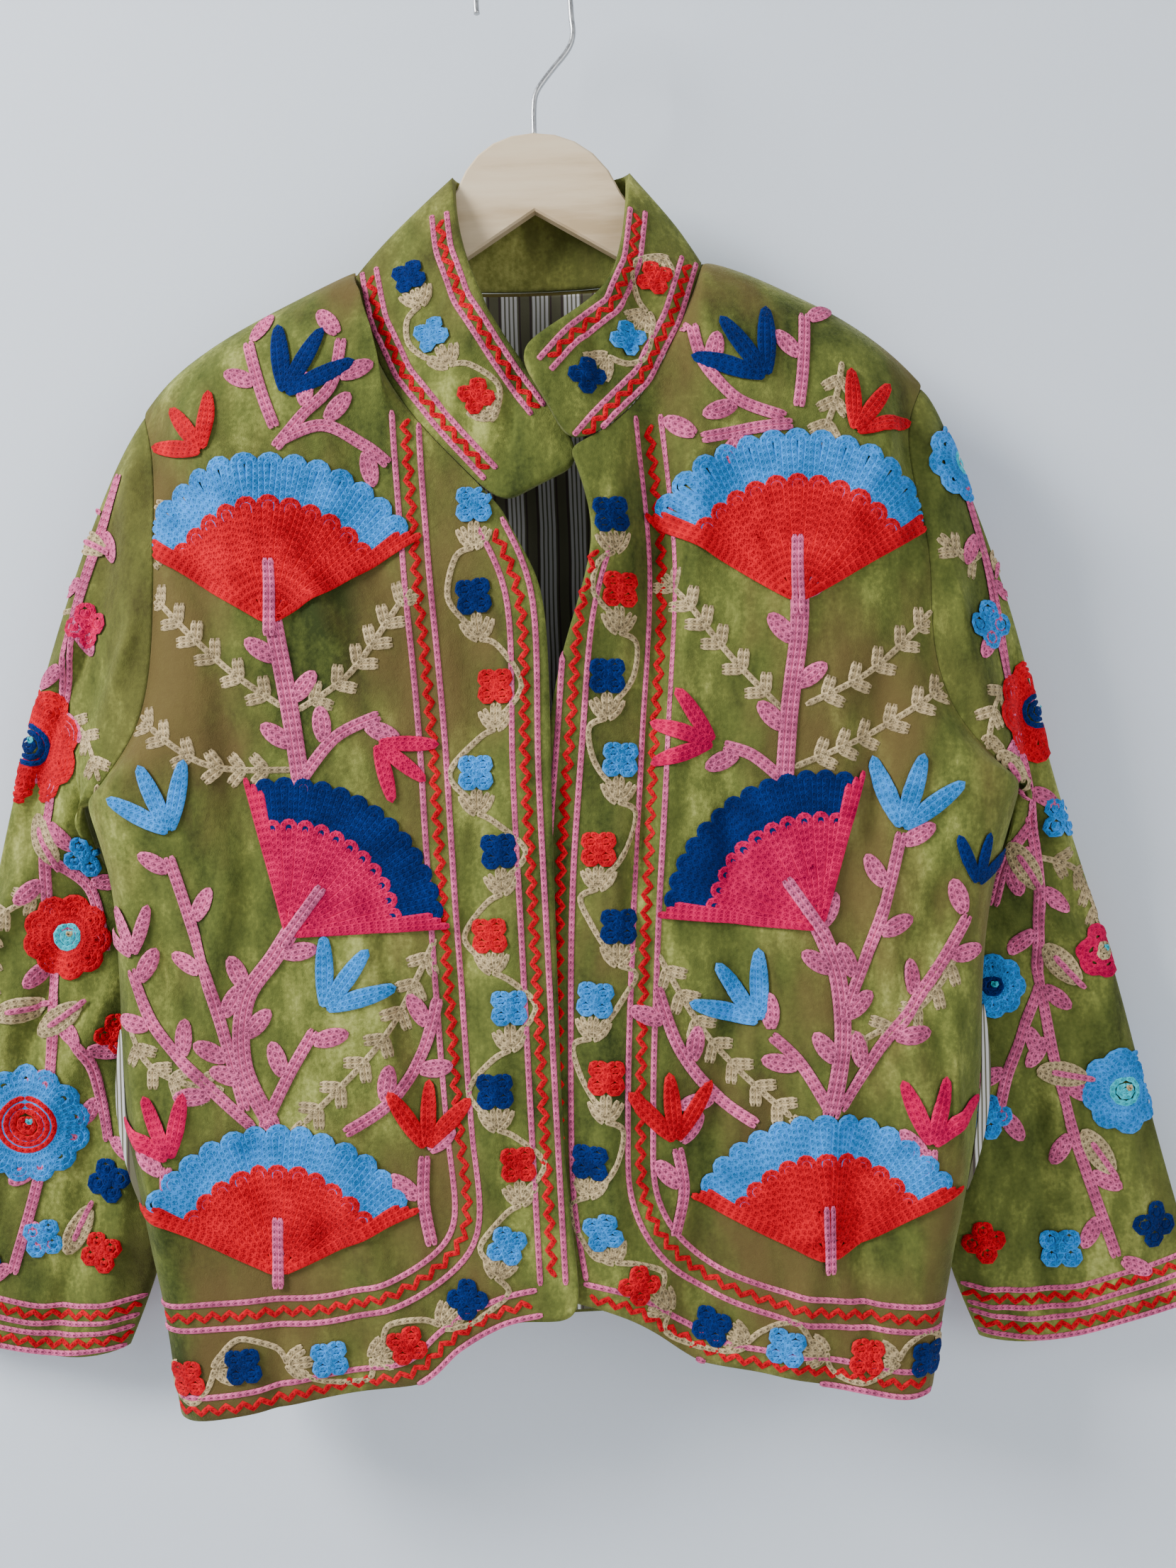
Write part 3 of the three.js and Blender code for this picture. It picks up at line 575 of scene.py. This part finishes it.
def disc(hoop, colour, centre, radius, lift):
    """A filled round, in rings from the outside in."""
    reach = radius - ROW / 2
    while reach > 0.6:
        count = max(7, int(reach * 1.4))
        hoop.row(colour, [polar(centre, 360 * i / count, reach) for i in range(count + 1)], lift=lift)
        reach -= ROW
    if reach > -ROW / 2:
        hoop.row(colour, [polar(centre, 90, 2.4), centre, polar(centre, -90, 2.4)], lift=lift + 0.2)


def beside(path, offset):
    """A path moved to its side by an offset."""
    moved = []
    for i, (x, z) in enumerate(path):
        x0, z0 = path[max(0, i - 1)]
        x1, z1 = path[min(len(path) - 1, i + 1)]
        length = math.hypot(x1 - x0, z1 - z0) or 1
        moved.append((x - (z1 - z0) / length * offset, z + (x1 - x0) / length * offset))
    return moved


def stalk(hoop, colour, path, rows=2, lift=0.0):
    """Rows of chain side by side along a path."""
    for k in range(rows):
        hoop.row(colour, beside(path, 3.4 * (k - (rows - 1) / 2)), 3.7, lift)


def blossom(hoop, centre, radius, petal, turn, heart=None, petals=4):
    """A small one has four round lobes; a large one has broad petals about a heart."""
    if petals == 4:
        for i in range(petals):
            disc(hoop, petal, polar(centre, turn + 360 * i / petals, radius * 0.54), radius * 0.52, 1.1)
        disc(hoop, petal, centre, ROW * 0.9, 1.4)
        return
    for i in range(petals):
        lobe(hoop, petal, centre, turn + 360 * i / petals, radius * 0.25, radius, 180 / petals, 1.1)
    disc(hoop, heart, centre, radius * (0.5 if petals > 11 else 0.36), 1.7)
    eye = "turquoise" if heart != "turquoise" else "beige"
    disc(hoop, eye, polar(centre, 40, radius * 0.1), 2.6, 2.4)


def tulip(hoop, base, turn, size, petal):
    """Three pointed petals from one base, the middle one on top."""
    for angle, lift in ((-37, 1.2), (37, 1.2), (0, 1.5)):
        leaf(hoop, petal, base, polar(base, turn + angle, size * 1.2), size * 0.29, lift)


VEINED, LEAFLET, LEAF = 34, 12, 25      # the lengths of leaves in mm


def veined_leaf(hoop, base, turn):
    """A beige leaf with a pink vein."""
    leaf(hoop, "beige", base, polar(base, turn, VEINED), VEINED * 0.46, 1.1)
    stalk(hoop, "pink", [polar(base, turn, -4), polar(base, turn, VEINED * 0.72)], 1, 2.1)


def heading(start, end):
    """The turn from one point to another, in degrees clockwise from up."""
    return math.degrees(math.atan2(end[0] - start[0], end[1] - start[1]))


def stations(path, spacing, gone=0.0):
    """Points of a path about as far apart as the spacing, and the path's turn at each."""
    for start, end in zip(path, path[1:]):
        gone += math.hypot(end[0] - start[0], end[1] - start[1])
        if gone > spacing:
            gone = 0.0
            yield end, heading(start, end)


def fern(hoop, stem):
    """A stem with pairs of leaflets, each a narrow closed loop of chain, and one at its tip."""
    path = smooth_line(stem)
    hoop.row("beige", path)
    for place, turn in stations(path, 13, 2.0):
        for angle in (-48, 48):
            stalk(hoop, "beige", [place, polar(place, turn + angle, LEAFLET)])
    stalk(hoop, "beige", [path[-1], polar(path[-1], heading(*path[-2:]), LEAFLET * 0.8)])


def branch(hoop, stem, rows=2):
    """A stem of several rows, with a leaf to one side and then the other."""
    path = smooth_line(stem)
    stalk(hoop, "pink", path, rows, 0.6)
    side = 1
    for place, turn in stations(path, LEAF):
        side = -side
        turn += 46 * side
        leaf(hoop, "pink", polar(place, turn, 3), polar(place, turn, LEAF), 10.5, 0.6)


def lobe(hoop, colour, base, turn, inner, outer, half, lift):
    """A petal of nested rows that runs out from base between two radii and ends in a round tip.
    half is half of its angle in degrees."""
    wide = math.radians(half) * outer
    inset = ROW * 0.45
    while wide - inset > -0.4:
        cap = max(0.0, wide - inset)
        centre = outer - wide
        narrow = max(0.0, math.radians(half) * inner - inset)
        line = [(-narrow, inner), (-cap, centre)]
        for sixth in range(1, 6):
            angle = sixth * math.pi / 6
            line.append((-cap * math.cos(angle), centre + cap * math.sin(angle)))
        line += [(cap, centre), (narrow, inner)]
        if cap < 0.5:
            line = [(0, inner), (0, centre)]
        axis_x, axis_z = math.sin(math.radians(turn)), math.cos(math.radians(turn))
        hoop.row(colour, [(base[0] + across * axis_z + along * axis_x,
                           base[1] - across * axis_x + along * axis_z)
                          for across, along in line], 4.2, lift)
        inset += ROW * 0.9


def fan(hoop, base, turn, reach, body, rim, spread=56):
    """A palm: a body of round-ended lobes about its base, a rim of the same beyond, and a stem."""
    for colour, inner, outer, lobes, lift in ((rim, reach * 0.62, reach, 13, 1.1),
                                              (body, reach * 0.3, reach * 0.74, 11, 1.6)):
        half = spread / lobes
        for k in range(lobes):
            lobe(hoop, colour, base, turn - spread + half * (2 * k + 1), inner, outer, half, lift)
    count = int(2 * math.radians(spread) * reach * 0.36 / ROW)
    for k in range(count + 1):
        angle = turn + spread * (2 * k / count - 1)
        inner = reach * (0.02 if k % 3 == 0 else 0.15)
        hoop.row(body, [polar(base, angle, inner), polar(base, angle, reach * 0.36)], 4.2, 1.7)
    for side in (-1, 1):
        for k in range(3):
            hoop.row(body, [polar(base, turn + side * (spread + 2.5 - 2.2 * k), r)
                            for r in (3, reach * 0.4, reach * (1.03 - 0.05 * k))], 4.2, 1.9)
    stalk(hoop, "pink", [polar(base, turn, r) for r in (-8, reach * 0.2, reach * 0.38)], 2, 2.5)


ZIGZAG, ZIGZAG_HALF = 5.2, 2.1      # along the border and across it, in mm


def border(hoop, points, gap=7.4):
    """Two pink rows with a red zigzag between them."""
    path = smooth_line(points)
    for offset in (-gap, gap):
        hoop.row("pink", beside(path, offset), 3.4)
    zigzag, gone, side = [], 0.0, 1
    for (x0, z0), (x1, z1) in zip(path, path[1:]):
        length = math.hypot(x1 - x0, z1 - z0)
        travelled = 0.0
        while gone + (length - travelled) >= ZIGZAG:
            travelled += ZIGZAG - gone
            share = travelled / length
            gone = 0.0
            x, z = x0 + (x1 - x0) * share, z0 + (z1 - z0) * share
            zigzag.append((x - (z1 - z0) / length * side * ZIGZAG_HALF,
                           z + (x1 - x0) / length * side * ZIGZAG_HALF))
            side = -side
        gone += length - travelled
    if len(zigzag) > 2:
        hoop.row("red", zigzag, 3.2)


def vine(hoop, flowers, size=12):
    """Four-lobed blossoms in a line. Each has a short stalk with a pair of leaves, and from there
    the stem swings round the next blossom to its stalk."""
    side = 1
    for number, (x, z, colour) in enumerate(flowers):
        here, behind = (x, z), flowers[max(number - 1, 0)][:2]
        ahead = flowers[min(number + 1, len(flowers) - 1)][:2]
        turn = heading(behind, ahead)
        fork = polar(here, turn, min(max(15.0, math.dist(here, ahead) * 0.5), 25))
        stalk(hoop, "beige", [polar(here, turn, size * 0.8), fork])
        for angle in (-132, 132):
            stalk(hoop, "beige", [fork, polar(fork, turn + angle, 7), polar(fork, turn + angle * 1.08, 14)])
        if ahead != here:
            below = polar(ahead, turn, 14)
            hoop.row("beige", smooth_line([
                fork, polar(fork, turn + 62 * side, 12), polar(ahead, turn + 90 * side, size + 3.5),
                polar(below, turn + 90 * side, 6), polar(ahead, turn, 17)], 6), 3.6)
        side = -side
        blossom(hoop, here, size, colour, turn + 45)


hoops = {
    "front_right": Hoop("embroidery_front_right", front_right, -1),
    "front_left": Hoop("embroidery_front_left", front_left, -1),
    "sleeve_right": Hoop("embroidery_sleeve_right", sleeve_right, -1),
    "sleeve_left": Hoop("embroidery_sleeve_left", sleeve_left, -1),
    "collar": Hoop("embroidery_collar", collar, -1),
    "back": Hoop("embroidery_back", back, 1),
    "sleeve_right_back": Hoop("embroidery_sleeve_right_back", sleeve_right, 1),
    "sleeve_left_back": Hoop("embroidery_sleeve_left_back", sleeve_left, 1),
}

# On each front three large palms stand one above another on a pink stem, with tulips and ferns
# between them. A winding vine with small blossoms runs down the centre and along the hem.
# Rows: x, z of the base, turn in degrees, reach in mm, body and rim colour, half-angle.
RIGHT_FANS = [(-158, -406, 2, 99, "red", "sky", 57), (-154, -588, 38, 92, "crimson", "navy", 48),
              (-166, -786, 2, 88, "red", "sky", 62)]
LEFT_FANS = [(149, -404, 2, 101, "red", "sky", 57), (156, -594, -33, 92, "crimson", "navy", 48),
             (155, -788, 0, 86, "red", "sky", 61)]
# Rows: x, z of the base, turn in degrees, size in mm and colour.
RIGHT_TULIPS = [
    (-192, -306, -38, 33, "red"), (-146, -272, 30, 38, "navy"), (-98, -478, 130, 30, "crimson"),
    (-220, -526, -24, 36, "sky"), (-134, -632, 38, 36, "sky"), (-226, -716, -24, 33, "crimson"),
    (-78, -716, 6, 34, "red"), (-246, -598, -20, 26, "pink"),
]
LEFT_TULIPS = [
    (136, -272, -34, 38, "navy"), (186, -306, 38, 33, "red"), (98, -484, -70, 32, "crimson"),
    (206, -538, 18, 38, "sky"), (120, -648, -36, 36, "sky"), (216, -722, 16, 34, "crimson"),
    (68, -716, -4, 34, "red"), (250, -572, 16, 26, "navy"),
]
# Stems by the number of their rows, each with its points from the foot up.
RIGHT_STEMS = [
    (3, [(-142, -508), (-146, -470), (-152, -430), (-157, -398)]),
    (3, [(-166, -700), (-182, -664), (-180, -626), (-162, -600), (-146, -576)]),
    (2, [(-152, -292), (-160, -270), (-170, -236)]),
    (2, [(-152, -304), (-136, -286), (-118, -268), (-112, -240)]),
    (2, [(-150, -300), (-124, -292), (-100, -304), (-86, -316)]),
    (2, [(-144, -500), (-122, -474), (-96, -462)]),
    (2, [(-182, -690), (-192, -650), (-206, -596), (-222, -540)]),
    (2, [(-178, -700), (-206, -672), (-234, -640), (-248, -606)]),
    (2, [(-172, -700), (-156, -670), (-140, -644)]),
    (2, [(-124, -704), (-98, -688), (-78, -660), (-68, -628)]),
    (2, [(-76, -772), (-80, -746), (-79, -720)]), (2, [(-222, -752), (-228, -736), (-228, -720)])
]
RIGHT_FERNS = [
    [(-151, -456), (-186, -430), (-224, -392)], [(-144, -458), (-112, -436), (-82, -396)],
    [(-148, -492), (-196, -488), (-232, -464)], [(-68, -593), (-100, -650), (-148, -698)],
    [(-250, -640), (-236, -664), (-204, -676)], [(-206, -330), (-226, -340), (-232, -362)]
]
LEFT_STEMS = [
    (3, [(138, -508), (142, -470), (148, -430), (150, -398)]),
    (3, [(158, -704), (166, -664), (166, -626), (158, -600), (146, -576)]),
    (2, [(154, -290), (158, -266), (162, -230)]), (2, [(150, -300), (126, -302), (96, -308)]),
    (2, [(146, -296), (118, -284), (100, -262), (94, -238)]),
    (2, [(136, -506), (120, -492), (104, -486)]),
    (2, [(166, -650), (184, -610), (198, -570), (206, -540)]),
    (2, [(164, -700), (190, -664), (222, -624), (244, -590)]),
    (2, [(158, -700), (142, -672), (126, -656)]), (2, [(116, -708), (92, -690), (72, -662), (60, -626)]),
    (2, [(66, -772), (72, -746), (69, -720)]), (2, [(206, -756), (214, -742), (216, -724)])
]
LEFT_FERNS = [
    [(138, -466), (108, -432), (78, -392)], [(152, -464), (190, -446), (224, -418)],
    [(144, -500), (190, -482), (228, -460)], [(61, -606), (92, -660), (136, -704)],
    [(182, -262), (176, -286), (168, -306)], [(238, -610), (216, -640), (176, -662)]
]
RIGHT_VINE = [
    (-37, -341, "sky"), (-39, -394, "navy"), (-28, -447, "red"), (-41, -497, "sky"), (-29, -543, "navy"),
    (-36, -592, "red"), (-26, -634, "sky"), (-36, -682, "navy"), (-24, -725, "red"), (-32, -772, "sky"),
    (-56, -803, "navy"), (-92, -828, "red"), (-138, -836, "sky"), (-188, -838, "navy"),
    (-222, -846, "red")
]
LEFT_VINE = [
    (42, -350, "navy"), (46, -393, "red"), (37, -443, "navy"), (43, -492, "sky"), (29, -544, "red"),
    (39, -589, "navy"), (24, -631, "sky"), (29, -676, "red"), (18, -725, "navy"), (24, -766, "sky"),
    (44, -798, "red"), (86, -826, "navy"), (128, -836, "sky"), (176, -846, "red"), (212, -850, "navy")
]
BORDERS = {
    "front_right": [
        [(-76, -284), (-72, -380), (-66, -480), (-62, -611), (-58, -700), (-56, -762), (-84, -792),
         (-130, -806), (-180, -808), (-240, -812)],
        [(-28, -352), (-12, -400), (-12, -500), (-10, -606), (-8, -709), (-6, -796)],
        [(-14, -806), (-40, -812), (-66, -826), (-92, -846), (-140, -853), (-190, -862), (-230, -866)]],
    "front_left": [
        [(66, -292), (72, -380), (64, -480), (54, -600), (48, -700), (50, -752), (74, -790), (112, -808),
         (160, -820), (226, -828)],
        [(34, -366), (22, -410), (14, -480), (6, -560), (2, -640), (0, -740), (6, -796)],
        [(10, -804), (40, -812), (66, -830), (90, -842), (140, -850), (190, -862), (216, -864)]],
}
for side, fans, tulips, stems, ferns, flowers in (
        ("front_right", RIGHT_FANS, RIGHT_TULIPS, RIGHT_STEMS, RIGHT_FERNS, RIGHT_VINE),
        ("front_left", LEFT_FANS, LEFT_TULIPS, LEFT_STEMS, LEFT_FERNS, LEFT_VINE)):
    hoop = hoops[side]
    for rows, stem in stems:
        branch(hoop, stem, rows)
    for stem in ferns:
        fern(hoop, stem)
    for x, z, turn, reach, body, rim, spread in fans:
        fan(hoop, (x, z), turn, reach, body, rim, spread)
    for x, z, turn, size, petal in tulips:
        tulip(hoop, (x, z), turn, size, petal)
    for path in BORDERS[side]:
        border(hoop, path)
    vine(hoop, flowers)

# The sleeves carry larger single flowers on a pink trunk, and the same border round the cuff. Their
# backs, which hang behind the body, are worked alike.
# Rows: x, z, radius in mm, petals, petal and heart colour; a blossom of four petals has no heart.
SLEEVE_FLOWERS = {
    "sleeve_right": [
        (-276, -400, 14, 4, "crimson", None), (-320, -470, 38, 9, "red", "navy"),
        (-288, -540, 13, 4, "sky", None), (-303, -590, 27, 9, "red", "turquoise"),
        (-276, -652, 13, 4, "red", None), (-332, -706, 37, 13, "sky", "red"),
        (-284, -744, 14, 4, "navy", None), (-326, -778, 13, 4, "sky", None),
        (-290, -788, 13, 4, "red", None), (-366, -792, 13, 4, "navy", None)],
    "sleeve_left": [
        (258, -318, 25, 9, "sky", "turquoise"), (268, -418, 15, 4, "sky", None),
        (302, -470, 32, 9, "red", "navy"), (316, -536, 14, 4, "sky", None),
        (272, -640, 20, 8, "sky", "navy"), (352, -708, 27, 8, "sky", "turquoise"),
        (340, -620, 17, 6, "crimson", "beige"), (268, -722, 14, 4, "sky", None),
        (368, -792, 14, 4, "navy", None), (310, -806, 14, 4, "sky", None),
        (262, -800, 13, 4, "red", None)],
}
SLEEVE_STEMS = {
    "sleeve_right": [[(-252, -310), (-280, -380), (-296, -450), (-312, -540), (-314, -640), (-322, -720),
                      (-346, -800)],
                     [(-312, -540), (-288, -560), (-280, -600)], [(-314, -640), (-292, -670), (-284, -720)]],
    "sleeve_left": [[(246, -300), (268, -370), (280, -450), (298, -540), (302, -640), (316, -720),
                     (344, -812)],
                    [(298, -540), (282, -560), (274, -590)], [(302, -640), (284, -680), (274, -720)]],
}
SLEEVE_FERNS = {
    "sleeve_right": [[(-284, -390), (-312, -396), (-326, -440)], [(-310, -560), (-346, -580), (-356, -620)],
                     [(-300, -450), (-276, -470), (-266, -500)]],
    "sleeve_left": [[(270, -372), (256, -380), (244, -372)], [(300, -560), (326, -570), (340, -600)],
                    [(282, -450), (266, -470), (262, -500)]],
}
# Rows: x, z of the foot and the turn in degrees.
SLEEVE_LEAVES = {
    "sleeve_right": [(-262, -356, -62), (-268, -330, -50), (-306, -545, -20), (-296, -632, -124),
                     (-318, -632, -100), (-296, -760, -150)],
    "sleeve_left": [(276, -386, 24), (300, -580, -30), (326, -640, -42), (330, -700, -78),
                    (344, -760, -34), (290, -520, -40)],
}
CUFFS = {
    "sleeve_right": [[(-420, -806), (-366, -818), (-320, -828), (-262, -824)],
                     [(-424, -822), (-366, -836), (-316, -846), (-266, -842)]],
    "sleeve_left": [[(398, -816), (350, -828), (300, -838), (236, -832)],
                    [(401, -834), (350, -846), (296, -856), (240, -848)]],
}
for side in ("sleeve_right", "sleeve_left"):
    for hoop in (hoops[side], hoops[side + "_back"]):
        for stem in SLEEVE_STEMS[side]:
            branch(hoop, stem)
        for stem in SLEEVE_FERNS[side]:
            fern(hoop, stem)
        for x, z, turn in SLEEVE_LEAVES[side]:
            veined_leaf(hoop, (x, z), turn)
        for x, z, radius, petals, petal, heart in SLEEVE_FLOWERS[side]:
            blossom(hoop, (x, z), radius, petal, x, heart, petals)     # x serves as an uneven turn
        for path in CUFFS[side]:
            border(hoop, path, 5.6)

# Round the collar the border runs along both edges with a vine between, and its blossoms are small.
HALF = 0.5000001    # a hair more, so that the first end's last point stays on that end


def on_collar(share, height):
    """(x, z) on the collar's front, share along it and height from its seam to its fold."""
    low = [(-108, -190), (-100, -232), (-84, -268), (-58, -302), (-24, -340)]
    high = [(-46, -150), (-44, -176), (-34, -210), (-12, -250), (14, -290)]
    if share > 0.5:
        low = [(24, -322), (44, -300), (66, -278), (88, -236), (104, -190)]
        high = [(-2, -262), (20, -238), (44, -220), (56, -190), (60, -150)]
    place = (share % HALF) * 2 * 4
    k = min(3, int(place))
    t = place - k
    bottom = [low[k][i] + (low[k + 1][i] - low[k][i]) * t for i in (0, 1)]
    top = [high[k][i] + (high[k + 1][i] - high[k][i]) * t for i in (0, 1)]
    return tuple(lower + (upper - lower) * height for lower, upper in zip(bottom, top))


for first, last in ((0.02, 0.47), (0.53, 0.98)):
    shares = [first + (last - first) * i / 12 for i in range(13)]
    for height in (0.14, 0.86):
        border(hoops["collar"], [on_collar(share, height) for share in shares], 4.6)
    flowers = []
    for i, colour in enumerate(("navy", "sky", "red")):
        share = first + (last - first) * (0.2 + 0.3 * i)
        flowers.append((*on_collar(share, 0.5), colour))
    vine(hoops["collar"], flowers, 11)

# The back is worked as the fronts are: eight palms on stems, tulips and ferns, and the vine between
# two borders along the hem.
BACK_FANS = [
    (-150, -400, 2, 96, "red", "sky"), (0, -430, 0, 100, "crimson", "navy"),
    (150, -400, -2, 96, "red", "sky"), (-84, -620, 0, 94, "red", "sky"),
    (84, -620, 0, 94, "red", "sky"), (-168, -764, -4, 78, "crimson", "navy"),
    (0, -766, 0, 82, "crimson", "navy"), (170, -764, 4, 78, "crimson", "navy"),
]
BACK_TULIPS = [
    (-76, -296, -12, "navy"), (76, -296, 12, "navy"), (-206, -500, -24, "sky"), (204, -500, 24, "sky"),
    (0, -560, 0, "red"), (-204, -620, -20, "navy"), (204, -620, 20, "navy"), (-84, -724, 0, "sky"),
    (84, -724, 0, "sky"), (-196, -290, -20, "crimson"), (196, -290, 20, "crimson"),
]
# at +x; the other half mirrors them
BACK_FERNS = [
    [(40, -470), (66, -450), (78, -420)], [(150, -470), (190, -480), (224, -460)],
    [(150, -560), (176, -590), (190, -630)], [(20, -640), (30, -610), (24, -570)],
]
hoop = hoops["back"]
for x, z, turn, reach, body, rim in BACK_FANS:
    foot = max(z - 62, -786)
    branch(hoop, [(x - 2, foot), (x + 4, (foot + z) / 2), (x, z - 2)], 3)
    fan(hoop, (x, z), turn, reach, body, rim)
for x, z, turn, petal in BACK_TULIPS:
    tulip(hoop, (x, z), turn, 33, petal)
for side in (-1, 1):
    for stem in BACK_FERNS:
        fern(hoop, [(side * x, z) for x, z in stem])
border(hoop, [(-228, -806), (-150, -794), (-60, -786), (60, -786), (150, -794), (218, -806)])
border(hoop, [(-234, -856), (-150, -842), (-60, -830), (60, -830), (150, -842), (224, -856)])
vine(hoop, [(x, -808 - 28 * (x / 230) ** 2, ("sky", "navy", "red")[i % 3])
            for i, x in enumerate(range(-205, 215, 45))])

sewn = {name: hoop.finish() for name, hoop in hoops.items()}

# The set: a pale plastered wall close behind the jacket, which shows only from the front and lets
# the lamps behind it light the back, and a pale floor below, lit softly from the upper left.
plaster = Finish("plaster", Roughness=0.9, Specular_IOR_Level=0.1)
plaster.set("Base Color", plaster.blend(plaster.noise(3, 4), (0.69, 0.75, 0.83, 1), (0.74, 0.80, 0.88, 1)))
plaster.bump(plaster.noise(240, 4), 0.0004, 0.3)
facing = plaster.node("ShaderNodeMath", {"operation": "MAXIMUM"},
                      {0: plaster.node("ShaderNodeNewGeometry", output="Backfacing"),
                       1: plaster.node("ShaderNodeLightPath", output="Is Shadow Ray")})
clear = plaster.tree.nodes.new("ShaderNodeBsdfTransparent")
mixed = plaster.node("ShaderNodeMixShader", None, {0: facing, 1: Value(plaster, plaster.shader.outputs[0]),
                                                   2: Value(plaster, clear.outputs[0])})
plaster.tree.links.new(mixed.socket, plaster.tree.nodes["Material Output"].inputs["Surface"])


def sheet_of(name, corners, material):
    mesh = bpy.data.meshes.new(name)
    mesh.from_pydata(corners, [], [(0, 1, 2, 3)])
    mesh.materials.append(material)
    piece = placed(name, mesh)


WALL = 0.062        # how far behind the hook's plane it stands
FLOOR = -1.6
sheet_of("wall", [(-3, WALL, FLOOR), (3, WALL, FLOOR), (3, WALL, 1.8), (-3, WALL, 1.8)], plaster.material)
ground = Finish("floor", Roughness=0.85)
ground.set("Base Color", ground.blend(ground.noise(5, 3), (0.66, 0.66, 0.66, 1), (0.72, 0.72, 0.71, 1)))
sheet_of("floor", [(-4, -4, FLOOR), (4, -4, FLOOR), (4, 4, FLOOR), (-4, 4, FLOOR)], ground.material)

MIDDLE = Vector((0, 0, -0.5))       # of the jacket, where all lamps point
for name, place, power, size in (
        ("window", (-1.9, -1.25, 0.75), 100, 0.9), ("fill", (1.7, -2.1, -0.2), 26, 1.8),
        ("behind", (0.6, 2.2, 0.8), 34, 1.8)):
    lamp = bpy.data.lights.new(name, "AREA")
    lamp.energy, lamp.size = power, size
    holder = placed(name, lamp)
    holder.location = place
    holder.rotation_euler = (MIDDLE - Vector(place)).to_track_quat("-Z", "Y").to_euler()
sky = bpy.data.worlds.new("studio")
sky.use_nodes = True
sky.node_tree.nodes["Background"].inputs[0].default_value = (0.92, 0.96, 1.0, 1)
sky.node_tree.nodes["Background"].inputs[1].default_value = 0.5
bpy.context.scene.world = sky

# The camera stands 0.9 m before the jacket and is rolled by 1.9 degrees, as the picture is.
camera = placed("camera", bpy.data.cameras.new("camera"))
camera.data.lens = 33.74
camera.data.sensor_width = 36
camera.data.clip_start = 0.01
camera.location = (0.0239, -0.9, -0.5059)
upright = Vector((0.0332, 0, 0.99945)).normalized()
sight = Vector((0, 1, 0))
right = sight.cross(upright).normalized()
camera.rotation_euler = Matrix((right, upright, -sight)).transposed().to_euler()
bpy.context.scene.camera = camera
